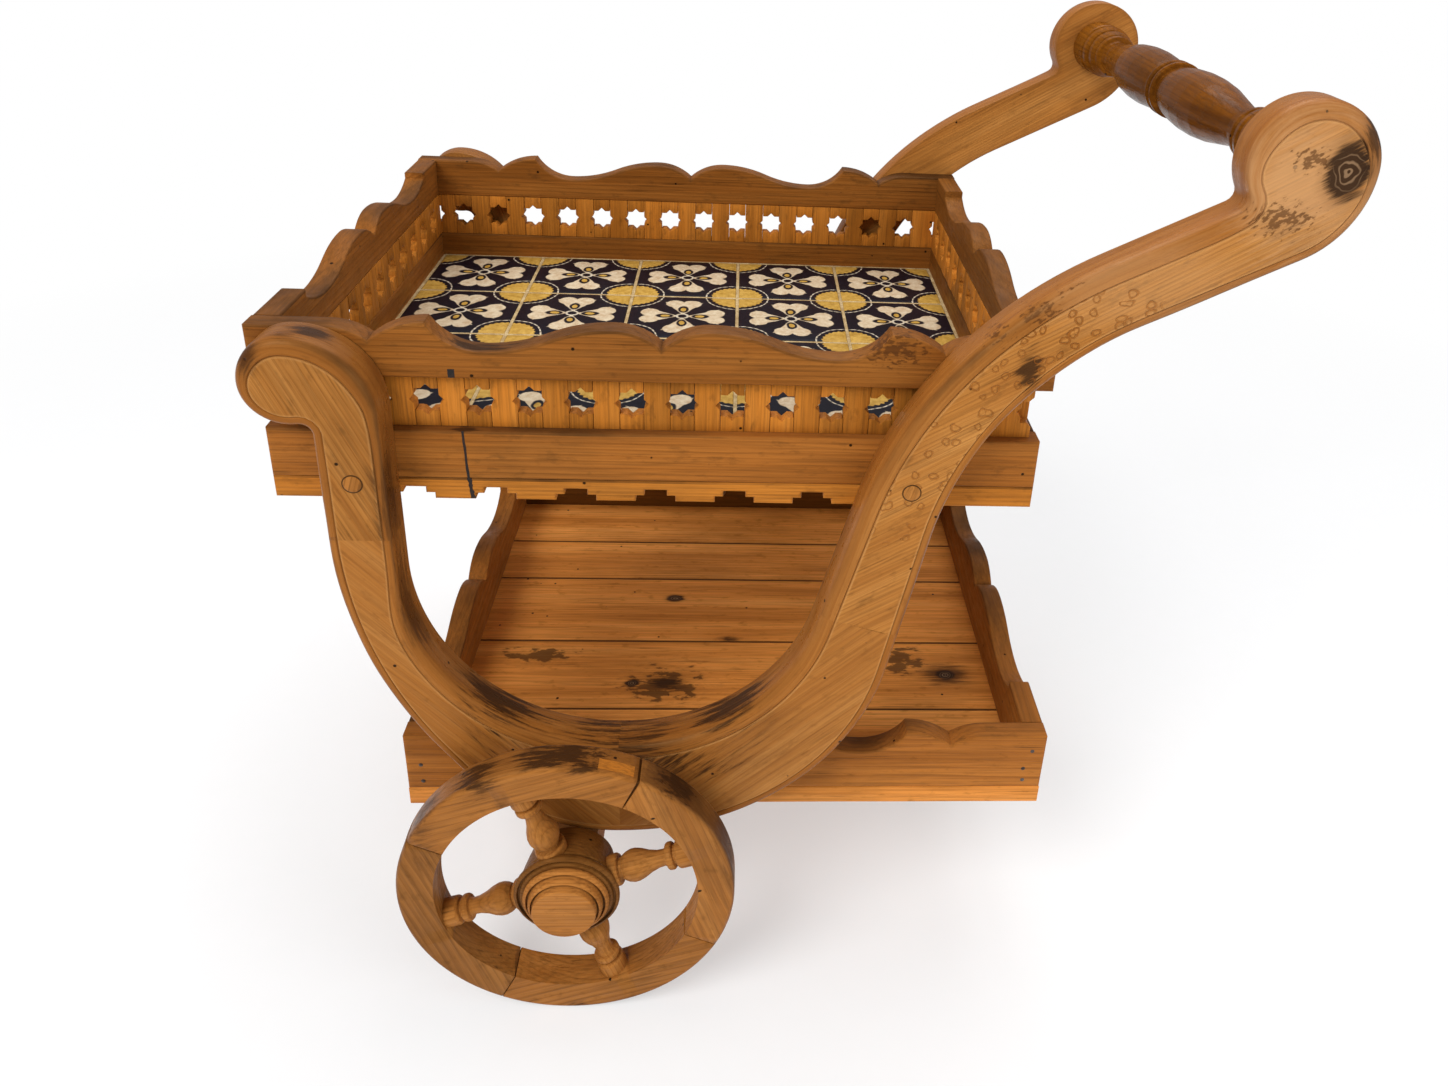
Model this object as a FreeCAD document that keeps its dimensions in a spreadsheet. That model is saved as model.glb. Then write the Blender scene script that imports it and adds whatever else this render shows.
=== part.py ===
import FreeCAD, Part
import math
import os
import re
from types import SimpleNamespace
from FreeCAD import Placement, Rotation, Vector

# Driving sizes of the serving cart, millimetres and degrees
SIZES = {
    # Tiled field of the upper tray
    "tile_side": 105,
    "tile_joint": 3,
    "tile_thick": 8,
    "tile_columns": 5,
    "tile_rows": 4,
    "grout_drop": 1,
    "bed_thick": 3,
    "base_thick": 12,
    "tile_drop": 24,
    # Walls of the upper tray
    "rail_thick": 19,
    "rail_height": 38,
    "band_thick": 11,
    "end_band_thick": 8,
    "band_height": 43,
    "apron_height": 40,
    "end_apron_thick": 15,
    "trim_height": 18,
    # Scalloped top edge of the long rails
    "block_length": 55,
    "notch_from_end": 84,
    "notch_depth": 10,
    "peak_from_end": 124,
    "peak_rise": 4.5,
    "dip_from_end": 162,
    "dip_depth": 17,
    "crest_from_middle": 35,
    "crest_rise": 2,
    "middle_notch_depth": 12,
    # Scalloped top edge of the end rails
    "end_block_length": 52,
    "end_block_step": 6,
    "end_dip_from_end": 92,
    "end_dip_depth": 16,
    # Star openings
    "star_radius": 12.6,
    "star_shift": 4,
    "long_star_spaces": 15,
    "end_stars": 11,
    # Stepped notches of the trim under the long sides
    "step_count": 7,
    "step_pitch": 60,
    "step_shift": 5,
    "step_mouth": 30,
    "step_tread": 6.5,
    "step_rise": 5,
    # Lower tray
    "shelf_length": 551,
    "shelf_setback": 73,
    "shelf_side_height": 57,
    "plank_thick": 18,
    "plank_one": 97,
    "plank_two": 99,
    "plank_three": 107,
    "plank_four": 72,
    "tray_spacing": 309,
    # Side frames
    "frame_thick": 32,
    "bow_setback": 256,
    "bow_radius": 160,
    "bow_depth": 94,
    "sole_flat": 4,
    "leg_width": 46,
    "knee_rise": 182,
    "knee_angle": 55,
    "knee_reach": 110,
    "arm_width": 51,
    "rise_angle": 75,
    "rise_width": 66,
    "rise_outer_angle": 79,
    "rise_joint": 14,
    "arm_angle": 27,
    "arm_bend": 312,
    "arm_outer_bend": 250,
    "scroll_radius": 33,
    "scroll_overhang": 14,
    "scroll_drop": 29,
    "neck_radius": 8,
    "head_radius": 45,
    "head_lift": 9,
    "handle_reach": 143,
    "handle_rise": 146,
    "edge_round": 7,
    # Screws and plugs that hold the frames to the trays
    "screw_diameter": 5,
    "screw_head_diameter": 11,
    "screw_head_height": 3.5,
    "screw_bite": 14,
    "plug_diameter": 13,
    "plug_length": 6,
    "plug_lift": 13,
    "plug_inset": 31,
    "shelf_screw_spread": 75,
    "shelf_screw_lift": 25,
    "fit_clearance": 0.05,
    # Turned handle
    "handle_tenon_diameter": 20,
    "handle_tenon_length": 20,
    "handle_end_radius": 23,
    "handle_neck_radius": 17.5,
    "handle_bulb_radius": 26,
    "handle_waist_radius": 20,
    "handle_ring_radius": 25,
    "handle_end_length": 16,
    "handle_neck_from_end": 42,
    "handle_bulb_from_end": 128,
    "handle_ring_length": 16,
    # Axle under the lower tray
    "axle_setback": 217,
    "axle_drop": 20,
    "axle_diameter": 16,
    "axle_stub": 40.5,
    "beam_width": 40,
    "beam_height": 45,
    "washer_thick": 6,
    "washer_diameter": 40,
    "collar_diameter": 30,
    "collar_length": 8,
    "running_gap": 0.3,
    "bearing_clearance": 0.05,
    # Spoked wheels
    "wheel_radius": 137,
    "felloe_depth": 30,
    "felloe_width": 28,
    "felloe_round": 4,
    "felloe_crack": 0.4,
    "wheel_mid": 26,
    "spoke_count": 4,
    "spoke_angle": 19,
    "spoke_tenon_diameter": 13,
    "spoke_tenon_length": 11,
    "spoke_collar_radius": 10.5,
    "spoke_bulb_radius": 12.5,
    "spoke_waist_radius": 6.5,
    "spoke_bulb_from_hub": 20,
    "spoke_throat_from_rim": 18,
    "hub_length": 42,
    "hub_back_radius": 34,
    "hub_barrel_radius": 40,
    "hub_collar_radius": 43,
    "hub_collar_length": 6,
    "hub_groove": 3,
    "hub_recess_radius": 18,
    "hub_recess_depth": 12,
    "cap_length": 16,
    "cap_flange_radius": 35,
    "cap_flange_length": 6,
    "cap_face_radius": 26,
    "bush_wall": 3,
    # Swivel caster under the rear of the lower tray
    "caster_inset": 94,
    "caster_trail": 30,
    "caster_radius": 50,
    "caster_width": 28,
    "caster_hub_width": 31,
    "caster_hub_radius": 14,
    "caster_web_width": 16,
    "caster_rim_depth": 13,
    "caster_axle_diameter": 10,
    "caster_axle_head": 5,
    "fork_thick": 4,
    "fork_side_gap": 1.5,
    "fork_crown_gap": 8,
    "fork_crown_length": 52,
    "fork_eye_radius": 13,
    "kingpin_diameter": 12,
    "kingpin_head_diameter": 22,
    "kingpin_head_height": 5,
    "plate_length": 96,
    "plate_width": 76,
    "plate_thick": 4,
    "plate_screw_inset": 11,
    "plate_screw_length": 18,
    "caster_block_length": 130,
    "caster_block_width": 110,
}

# Sizes that follow from the driving sizes
DERIVED = {
    "tile_pitch": "tile_side + tile_joint",
    "field_length": "tile_columns * tile_pitch + tile_joint",
    "field_width": "tile_rows * tile_pitch + tile_joint",
    "tray_length": "field_length + 2 * rail_thick",
    "tray_width": "field_width + 2 * rail_thick",
    "overall_length": "tray_length + handle_reach + head_radius",
    "front_end": "-overall_length / 2",
    "shelf_bottom": "wheel_radius + axle_drop",
    "shelf_floor": "shelf_bottom + plank_thick",
    "tray_bottom": "shelf_bottom + tray_spacing",
    "apron_bottom": "tray_bottom + trim_height",
    "band_bottom": "apron_bottom + apron_height",
    "rail_bottom": "band_bottom + band_height",
    "rail_top": "rail_bottom + rail_height",
    "tile_top": "band_bottom - tile_drop",
    "bed_top": "tile_top - tile_thick",
    "base_top": "bed_top - bed_thick",
    "long_band_length": "field_length + 2 * end_band_thick",
    "long_apron_length": "field_length + 2 * end_apron_thick",
    "star_pitch": "long_band_length / long_star_spaces",
    "plank_five": "tray_width - plank_one - plank_two - plank_three - plank_four",
    "frame_face": "tray_width / 2 + frame_thick",
    "hub_back": "frame_face + washer_thick + running_gap",
    "collar_start": "hub_back + hub_length - hub_recess_depth + running_gap",
    "axle_length": "2 * (frame_face + axle_stub + washer_thick)",
    "screw_hole": "screw_diameter / 2 + fit_clearance",
    "axle_hole": "axle_diameter / 2 + bearing_clearance",
    "bush_radius": "axle_hole + bush_wall",
    "fork_crown_top": "2 * caster_radius + fork_crown_gap + fork_thick",
    "plate_bottom": "fork_crown_top + running_gap",
    "plate_top": "plate_bottom + plate_thick",
    "caster_block_height": "shelf_bottom - plate_top",
    "fork_inside": "caster_hub_width + 2 * fork_side_gap",
    "caster_setback": "shelf_setback + shelf_length - caster_inset",
}

doc = FreeCAD.newDocument("serving_cart")
sheet = doc.addObject("Spreadsheet::Sheet", "Sizes")
for row, (name, number) in enumerate(SIZES.items(), start=1):
    sheet.set(f"A{row}", name)
    sheet.set(f"B{row}", str(number))
    sheet.setAlias(f"B{row}", name)
doc.recompute()

NODES = []


def formula(text):
    """Spell a formula out in the cells of the sheet."""
    def cell(match):
        name = match.group(0)
        if name in DERIVED:
            return "(" + formula(DERIVED[name]) + ")"
        return "Sizes." + name if name in SIZES else name
    return re.sub(r"[a-z_]+", cell, text)


def value(text):
    return float(sheet.evalExpression(formula(text)))


size = SimpleNamespace(**{name: value(name) for name in [*SIZES, *DERIVED]})
UP = Vector(0, 0, 1)
SIDES = {"left": -1, "right": 1}


def point(x, y):
    return Vector(x, y, 0)


def node(thing, label):
    """Name a finished piece and keep it for the hand-in."""
    thing.Label = label
    NODES.append(thing)
    return thing


def place(thing, x="0", y="0", z="0"):
    """Bind a piece's position to the sheet."""
    for axis, text in zip("xyz", (x, y, z)):
        thing.setExpression(f"Placement.Base.{axis}", formula(text))
    return thing


def bind(thing, **cells):
    for prop, text in cells.items():
        thing.setExpression(prop, formula(text))
    return thing


def box(name, length, width, height, x, y, z):
    thing = doc.addObject("Part::Box", name)
    bind(thing, Length=length, Width=width, Height=height)
    return place(thing, x, y, z)


def cylinder(name, radius, height, placement=Placement()):
    thing = doc.addObject("Part::Cylinder", name)
    bind(thing, Radius=radius, Height=height)
    thing.Placement = placement
    return thing


def cut(name, base, tools):
    """Take several tools out of one base."""
    tool = tools[0]
    if len(tools) > 1:
        tool = doc.addObject("Part::Compound", name + "_tools")
        tool.Links = tools
    thing = doc.addObject("Part::Cut", name)
    thing.Base = base
    thing.Tool = tool
    return thing


def group(name, things):
    """Several like pieces kept as one node of separate solids."""
    thing = doc.addObject("Part::Compound", name)
    thing.Links = things
    return thing


# Sketched outlines; points nearer than this are one point
TOUCH = 0.001


def polygon(corners):
    """Straight closed outline."""
    return [Part.LineSegment(a, b) for a, b in zip(corners, corners[1:] + corners[:1])]


def polyline(corners):
    return [Part.LineSegment(a, b) for a, b in zip(corners, corners[1:]) if a.distanceToPoint(b) > TOUCH]


def rectangle(left, bottom, right, top):
    return polygon([point(left, bottom), point(right, bottom), point(right, top), point(left, top)])


def circle(x, y, radius):
    return [Part.Circle(point(x, y), UP, radius)]


def arc_about(centre, start, end, toward):
    """Arc from start to end about a centre, on the side that a direction points to."""
    radius = start.distanceToPoint(centre)
    direction = Vector(toward)
    direction.normalize()
    return Part.Arc(start, centre + direction * radius, end)


def rounded(before, tip, after, radius):
    """Arc that rounds the corner at tip, with its two tangent points."""
    back = before - tip
    ahead = after - tip
    back.normalize()
    ahead.normalize()
    half = back.getAngle(ahead) / 2
    reach = radius / math.tan(half)
    inward = back + ahead
    inward.normalize()
    middle = tip + inward * (radius / math.sin(half) - radius)
    start = tip + back * reach
    end = tip + ahead * reach
    return Part.Arc(start, middle, end), start, end


def swell(level, other):
    """Arc that leaves its first point level and ends at the other."""
    run = other.x - level.x
    rise = other.y - level.y
    radius = (run ** 2 + rise ** 2) / (2 * rise)
    centre = level + point(0, radius)
    half = math.atan2(run, radius - rise) / 2 if radius > 0 else math.atan2(run, rise - radius) / 2
    middle = centre + point(abs(radius) * math.sin(half), -radius * math.cos(half))
    return Part.Arc(level, middle, other)


def ogee(first, last):
    """Two arcs that leave both points level and meet half way."""
    middle = (first + last) / 2
    return [swell(first, middle), swell(last, middle)]


def sketch(body, plane, outlines):
    """Sketch on one of the body's own planes."""
    support = next(f for f in body.Origin.OriginFeatures if f.Role == plane)
    thing = body.newObject("Sketcher::SketchObject", body.Name + "_sketch")
    thing.AttachmentSupport = [(support, "")]
    thing.MapMode = "FlatFace"
    for outline in outlines:
        thing.addGeometry(outline, False)
    return thing


def padded(name, plane, outlines, length, reverse=False):
    """Body with one sketch padded to a bound length."""
    body = doc.addObject("PartDesign::Body", name)
    pad = body.newObject("PartDesign::Pad", name + "_pad")
    pad.Profile = sketch(body, plane, outlines)
    bind(pad, Length=length)
    pad.Reversed = reverse
    body.Tip = pad
    return body


def bored(body, plane, outlines, depth, reverse=False):
    """Pocket in a body from one of its own planes."""
    pocket = body.newObject("PartDesign::Pocket", body.Name + "_bore")
    pocket.Profile = sketch(body, plane, outlines)
    bind(pocket, Length=depth)
    pocket.Reversed = reverse
    body.Tip = pocket
    return body


def turned(name, outline, angle="360", axis="Z_Axis"):
    """Body revolved about one of its own axes from a half section in its XZ plane."""
    body = doc.addObject("PartDesign::Body", name)
    revolution = body.newObject("PartDesign::Revolution", name + "_turning")
    revolution.Profile = sketch(body, "XZ_Plane", [outline])
    line = next(f for f in body.Origin.OriginFeatures if f.Role == axis)
    revolution.ReferenceAxis = (line, [""])
    bind(revolution, Angle=angle)
    body.Tip = revolution
    return body


def ring_of(body, count):
    """Repeat a body's last feature about its Z axis."""
    feature = body.Tip
    line = next(f for f in body.Origin.OriginFeatures if f.Role == "Z_Axis")
    pattern = body.newObject("PartDesign::PolarPattern", body.Name + "_ring")
    pattern.Originals = [feature]
    pattern.Axis = (line, [""])
    pattern.Angle = 360
    bind(pattern, Occurrences=count)
    body.Tip = pattern
    return body


# Tiles, grout and base of the upper tray
def tile_squares():
    squares = []
    for column in range(int(size.tile_columns)):
        for row in range(int(size.tile_rows)):
            left = column * size.tile_pitch + size.tile_joint
            near = row * size.tile_pitch + size.tile_joint
            squares.append(rectangle(left, near, left + size.tile_side, near + size.tile_side))
    return squares


FIELD_X = "front_end + rail_thick"
FIELD_Y = "-field_width / 2"
tiles = padded("tiles", "XY_Plane", tile_squares(), "tile_thick")
node(place(tiles, FIELD_X, FIELD_Y, "bed_top"), "tiles")
field = rectangle(0, 0, size.field_length, size.field_width)
grid = padded("grout_grid", "XY_Plane", [field, *tile_squares()], "tile_thick - grout_drop")
bed = box("tile_bed", "field_length", "field_width", "bed_thick", FIELD_X, FIELD_Y, "base_top")
grout = doc.addObject("Part::MultiFuse", "tile_grout")
grout.Shapes = [bed, place(grid, FIELD_X, FIELD_Y, "bed_top")]
node(grout, "tile_grout")
node(box("tray_base", "field_length", "field_width", "base_thick", FIELD_X, FIELD_Y,
         "base_top - base_thick"), "tray_base")


# Scalloped top edges, drawn about the middle of the board
def mirrored(outline):
    flip = FreeCAD.Matrix()
    flip.scale(-1, 1, 1)
    copies = []
    for edge in outline:
        twin = edge.copy()
        twin.transform(flip)
        copies.append(twin)
    return copies


def scallop(half, top, end_board):
    """Right half of a scalloped edge, from the middle notch to the end of the board."""
    middle = point(0, top - size.middle_notch_depth)
    crest = point(size.crest_from_middle, top + size.crest_rise)
    if end_board:
        dip = point(half - size.end_dip_from_end, top - size.end_dip_depth)
        step = point(half - size.end_block_length, top - size.end_block_step)
        edge = [swell(dip, step), *polyline([step, point(step.x, top), point(half, top)])]
    else:
        dip = point(half - size.dip_from_end, top - size.dip_depth)
        peak = point(half - size.peak_from_end, top + size.peak_rise)
        notch = point(half - size.notch_from_end, top - size.notch_depth)
        block = point(half - size.block_length, top)
        edge = [swell(dip, peak), swell(peak, notch), swell(block, notch)]
        edge += polyline([block, point(half, top)])
    return [swell(crest, middle), *ogee(crest, dip), *edge]


def scalloped_outline(length, height, end_board):
    half = length / 2
    right = scallop(half, height, end_board)
    foot = polyline([point(half, height), point(half, 0), point(-half, 0), point(-half, height)])
    return right + mirrored(right) + foot


MIDDLE_X = "front_end + tray_length / 2"
SHELF_X = "front_end + shelf_setback"
SHELF_MIDDLE = "front_end + shelf_setback + shelf_length / 2"


def long_board(name, outlines, thick, side, middle, z):
    """Board along X whose inner face lies on the tiled field's edge."""
    body = padded(name, "XZ_Plane", outlines, thick, reverse=SIDES[side] > 0)
    return place(body, middle, f"{SIDES[side]} * field_width / 2", z)


def end_board(name, outlines, thick, outward, x, z):
    body = padded(name, "YZ_Plane", outlines, thick, reverse=outward < 0)
    return place(body, x, "0", z)


ENDS = {"front": (-1, "front_end + rail_thick"), "rear": (1, "front_end + tray_length - rail_thick")}
long_rail = scalloped_outline(size.tray_length, size.rail_height, False)
end_rail = scalloped_outline(size.field_width, size.rail_height, True)
for side in SIDES:
    body = long_board(f"{side}_rail", [long_rail], "rail_thick", side, MIDDLE_X, "rail_bottom")
    node(body, f"{side}_top_rail")
for end, (outward, x) in ENDS.items():
    body = end_board(f"{end}_rail", [end_rail], "rail_thick", outward, x, "rail_bottom")
    node(body, f"{end}_top_rail")


# Pierced bands of eight-pointed stars
def star(x, y):
    """Two squares laid across each other."""
    valley = size.star_radius * math.cos(math.pi / 4) / math.cos(math.pi / 8)
    corners = []
    for step in range(16):
        reach = size.star_radius if step % 2 == 0 else valley
        turn = step * math.pi / 8
        corners.append(point(x + reach * math.cos(turn), y + reach * math.sin(turn)))
    return corners


def half_star_ends(length, height):
    """Band outline whose two ends stop in the middle of a star."""
    half = length / 2
    notch = [p for p in star(half, height / 2) if p.x < half + TOUCH]
    notch.sort(key=lambda p: p.y)
    right = [point(half, 0), *notch, point(half, height)]
    left = [point(-p.x, p.y) for p in reversed(right)]
    return polygon(right + left)


def star_row(count, height, shift):
    first = -(count - 1) / 2 * size.star_pitch - shift
    return [polygon(star(first + k * size.star_pitch, height / 2)) for k in range(int(count))]


long_band = [half_star_ends(size.long_band_length, size.band_height),
             *star_row(size.long_star_spaces - 1, size.band_height, size.star_shift)]
end_band = [rectangle(-size.field_width / 2, 0, size.field_width / 2, size.band_height),
            *star_row(size.end_stars, size.band_height, 0)]
for side in SIDES:
    body = long_board(f"{side}_band", long_band, "band_thick", side, MIDDLE_X, "band_bottom")
    node(body, f"{side}_star_band")
for end, (outward, x) in ENDS.items():
    body = end_board(f"{end}_band", end_band, "end_band_thick", outward, x, "band_bottom")
    node(body, f"{end}_star_band")

# Side frames, drawn from the front end of the tray and the floor


def along(angle):
    turn = math.radians(angle)
    return point(math.cos(turn), math.sin(turn))


def crossing(first, first_way, second, second_way):
    """Point where two straight lines meet."""
    gap = second - first
    turn = first_way.x * second_way.y - first_way.y * second_way.x
    reach = (gap.x * second_way.y - gap.y * second_way.x) / turn
    return first + first_way * reach


leg_inner = size.bow_setback - size.bow_radius
leg_outer = leg_inner - size.leg_width
sole = size.shelf_bottom
bow = point(size.bow_setback, sole + size.bow_depth + size.bow_radius)
scroll = point(leg_outer - size.scroll_overhang, size.rail_top - size.scroll_drop)
handle = point(size.tray_length + size.handle_reach, size.rail_top + size.handle_rise)
rise = along(size.rise_angle)
rise_out = along(size.rise_angle - 90)
arm = along(size.arm_angle)
arm_up = along(size.arm_angle + 90)

# Knee and sole of the bow
knee = point(leg_outer, sole + size.knee_rise)
heel = point(leg_outer + size.knee_rise / math.tan(math.radians(size.knee_angle)), sole)
knee_start = knee + point(0, size.knee_reach)
knee_round = size.knee_reach / math.tan(math.radians(90 - size.knee_angle) / 2)
sole_front = point(size.bow_setback - size.sole_flat / 2, sole)
sole_rear = point(size.bow_setback + size.sole_flat / 2, sole)
heel_round = (sole_front.x - heel.x) / math.tan(math.radians(size.knee_angle) / 2)
rise_inner = bow + rise_out * size.bow_radius
rise_outer = rise_inner + rise_out * size.rise_width
rise_under = along(size.rise_outer_angle)
toe = crossing(rise_outer, rise_under, point(0, sole), point(1, 0))
toe_round = (toe.x - sole_rear.x) / math.tan(math.radians(size.rise_outer_angle) / 2)
joint_inner = rise_inner + rise * size.rise_joint
joint_outer = crossing(joint_inner, rise_out, rise_outer, rise_under)
sole_middle = point(size.bow_setback, sole)
bow_bottom = bow - point(0, size.bow_radius)
bow_front = point(leg_inner, bow.y)
leg_joint = point(leg_inner, knee_start.y)

# Arm and its bend
arm_foot = handle - arm_up * size.head_lift
arm_under = arm_foot - arm_up * size.arm_width
bend_inner = crossing(rise_inner, rise, arm_foot, arm)
bend_outer = crossing(rise_outer, rise_under, arm_under, arm)


def leg_outline():
    """Front scroll and upper leg."""
    neck_x = leg_outer - size.neck_radius
    reach = size.scroll_radius + size.neck_radius
    neck = point(neck_x, scroll.y - math.sqrt(reach ** 2 - (neck_x - scroll.x) ** 2))
    neck_top = scroll + (neck - scroll) * (size.scroll_radius / reach)
    neck_foot = point(leg_outer, neck.y)
    crown = scroll + point(0, size.scroll_radius)
    shoulder = point(scroll.x, crown.y - (leg_inner - scroll.x))
    shoulder_foot = point(leg_inner, shoulder.y)
    edge = [
        *polyline([knee_start, neck_foot]),
        arc_about(neck, neck_foot, neck_top, point(1, 1)),
        arc_about(scroll, neck_top, crown, point(-1, 0)),
        arc_about(shoulder, crown, shoulder_foot, point(1, 1)),
        *polyline([shoulder_foot, leg_joint]),
    ]
    return edge, polyline([leg_joint, knee_start])


def bow_front_outline():
    """Front half of the bow, from the leg to the middle of the sole."""
    knee_arc, start, knee_end = rounded(knee_start, knee, heel, knee_round)
    heel_arc, heel_start, end = rounded(knee, heel, sole_front, heel_round)
    outer = [knee_arc, *polyline([knee_end, heel_start]), heel_arc, *polyline([sole_front, sole_middle])]
    inner = [arc_about(bow, bow_bottom, bow_front, point(-1, -1)), *polyline([bow_front, leg_joint])]
    joints = [*polyline([sole_middle, bow_bottom]), *polyline([leg_joint, knee_start])]
    return outer + inner, joints


def bow_rear_outline():
    """Rear half of the bow, from the middle of the sole to the arm."""
    toe_arc, start, toe_end = rounded(sole_rear, toe, joint_outer, toe_round)
    outer = [*polyline([sole_middle, sole_rear]), toe_arc, *polyline([toe_end, joint_outer])]
    bow_way = along((size.rise_angle - 180) / 2)
    inner = [*polyline([joint_inner, rise_inner]), arc_about(bow, rise_inner, bow_bottom, bow_way)]
    joints = [*polyline([joint_outer, joint_inner]), *polyline([bow_bottom, sole_middle])]
    return outer + inner, joints


def arm_outline():
    """Arm with its bend and the head that carries the handle."""
    inner_arc, inner_start, inner_end = rounded(joint_inner, bend_inner, arm_foot, size.arm_bend)
    reach = size.head_radius + size.neck_radius
    back = math.sqrt(reach ** 2 - (size.neck_radius - size.head_lift) ** 2)
    neck_foot = arm_foot - arm * back
    neck = neck_foot + arm_up * size.neck_radius
    neck_top = handle + (neck - handle) * (size.head_radius / reach)
    brow = handle + point(size.head_radius, 0)
    chin = crossing(brow, point(0, 1), arm_under, arm)
    chin_round = (brow.y - chin.y) / math.tan(math.radians(90 - size.arm_angle) / 2)
    chin_arc, chin_start, chin_end = rounded(brow, chin, arm_under - arm * size.arm_bend, chin_round)
    outer_arc, outer_end, outer_start = rounded(joint_outer, bend_outer, chin_end, size.arm_outer_bend)
    edge = [
        *polyline([joint_inner, inner_start]),
        inner_arc,
        *polyline([inner_end, neck_foot]),
        arc_about(neck, neck_foot, neck_top, arm - arm_up),
        arc_about(handle, neck_top, brow, point(0, 1)),
        chin_arc,
        *polyline([chin_end, outer_start]),
        outer_arc,
        *polyline([outer_end, joint_outer]),
    ]
    return edge, polyline([joint_outer, joint_inner])


def edge_middle(curve):
    return curve.value((curve.FirstParameter + curve.LastParameter) / 2)


def round_over(body, edges, face):
    """Round the outer face's edges that lie along the sawn outline."""
    pad = body.Tip
    doc.recompute()
    names = []
    for number, edge in enumerate(pad.Shape.Edges, start=1):
        middle = edge.valueAt((edge.FirstParameter + edge.LastParameter) / 2)
        seen = point(middle.x, middle.z)
        on_face = abs(middle.y - face) < TOUCH
        if on_face and any(seen.distanceToPoint(edge_middle(e)) < TOUCH for e in edges):
            names.append(f"Edge{number}")
    fillet = body.newObject("PartDesign::Fillet", body.Name + "_round")
    fillet.Base = (pad, names)
    bind(fillet, Radius="edge_round")
    body.Tip = fillet
    return body


bend_half = math.radians(size.rise_angle - size.arm_angle) / 2
bend_centre = bend_inner + (rise * -1 + arm).normalize() * (size.arm_bend / math.cos(bend_half))
plug_height = size.apron_bottom + size.plug_lift
arm_edge = bend_centre.x - math.sqrt(size.arm_bend ** 2 - (plug_height - bend_centre.y) ** 2)
arm_plug = arm_edge + size.plug_inset
leg_plug = leg_outer + size.leg_width / 2
SHELF_SCREW_Z = size.shelf_floor + size.shelf_screw_lift

FRAME_PIECES = {
    "front_leg": (leg_outline, [(leg_plug, plug_height)], []),
    "bow_front": (bow_front_outline, [], [(size.bow_setback - size.shelf_screw_spread, SHELF_SCREW_Z)]),
    "bow_rear": (bow_rear_outline, [], [(size.bow_setback + size.shelf_screw_spread, SHELF_SCREW_Z)]),
    "arm": (arm_outline, [(arm_plug, plug_height)], []),
}
SCREW_HOLE_DEPTH = "screw_bite + plug_length"
plugs = []
screws = []


def frame_screw(name, x, y, z, length, way):
    """Round-headed wood screw that points along the Y axis."""
    shank = size.screw_diameter / 2
    head = size.screw_head_diameter / 2
    reach = value(length)
    rim = size.screw_head_height
    outline = polygon([point(0, -rim), point(head, -rim), point(head, 0), point(shank, 0),
                       point(shank, reach - size.screw_diameter), point(0, reach)])
    body = turned(name, outline)
    body.Placement = Placement(Vector(size.front_end + x, y, z), Rotation(Vector(1, 0, 0), -90 * way))
    return body


for side, sign in SIDES.items():
    out = sign > 0
    for piece, (outline, plug_spots, screw_spots) in FRAME_PIECES.items():
        edges, joints = outline()
        body = padded(f"{side}_{piece}_sawn", "XZ_Plane", [edges + joints], "frame_thick", reverse=out)
        face = sign * size.frame_thick
        round_over(body, edges, face)
        for x, z in plug_spots:
            bored(body, "XZ_Plane", [circle(x, z, size.screw_hole)], "frame_thick", reverse=not out)
            well = padded(f"{side}_{piece}_well", "XZ_Plane",
                          [circle(x, z, size.plug_diameter / 2 + size.fit_clearance)],
                          "plug_length + screw_head_height", reverse=not out)
            well.Placement.Base.y = face
        for x, z in screw_spots:
            bored(body, "XZ_Plane", [circle(x, z, size.screw_hole)], SCREW_HOLE_DEPTH, reverse=not out)
        if piece == "arm":
            hole = circle(handle.x, handle.y, size.handle_tenon_diameter / 2 + size.fit_clearance)
            bored(body, "XZ_Plane", [hole], "handle_tenon_length", reverse=not out)
        if plug_spots:
            body = cut(f"{side}_{piece}_bored", body, [well])
        place(body, "front_end", f"{sign} * tray_width / 2", "0")
        node(body, f"{side}_{piece}")
        well_floor = sign * (size.frame_face - size.plug_length - size.screw_head_height)
        for x, z in plug_spots:
            plug = padded(f"{side}_{piece}_plug", "XZ_Plane", [circle(x, z, size.plug_diameter / 2)],
                          "plug_length", reverse=not out)
            plugs.append(place(plug, "front_end", f"{sign} * frame_face", "0"))
            reach = "frame_thick - plug_length - screw_head_height + screw_bite"
            screws.append(frame_screw(f"{side}_{piece}_screw", x, well_floor, z, reach, -sign))
        for x, z in screw_spots:
            wall = sign * size.field_width / 2
            reach = "rail_thick + screw_bite"
            screws.append(frame_screw(f"{side}_{piece}_screw", x, wall, z, reach, sign))
node(group("frame_plugs", plugs), "frame_plugs")
node(group("frame_screws", screws), "frame_screws")

# Aprons, with blind holes for the frame screws
half_apron = size.long_apron_length / 2
tray_middle = size.tray_length / 2
apron_face = rectangle(-half_apron, 0, half_apron, size.apron_height)
for side, sign in SIDES.items():
    body = padded(f"{side}_apron", "XZ_Plane", [apron_face], "rail_thick", reverse=sign < 0)
    holes = [circle(x - tray_middle, size.plug_lift, size.screw_hole) for x in (leg_plug, arm_plug)]
    bored(body, "XZ_Plane", holes, "screw_bite", reverse=sign > 0)
    node(place(body, MIDDLE_X, f"{sign} * tray_width / 2", "apron_bottom"), f"{side}_apron")
for end, (outward, x) in ENDS.items():
    foot = x if outward > 0 else f"{x} - end_apron_thick"
    body = box(f"{end}_apron", "end_apron_thick", "field_width", "apron_height",
               foot, FIELD_Y, "apron_bottom")
    node(body, f"{end}_apron")


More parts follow.
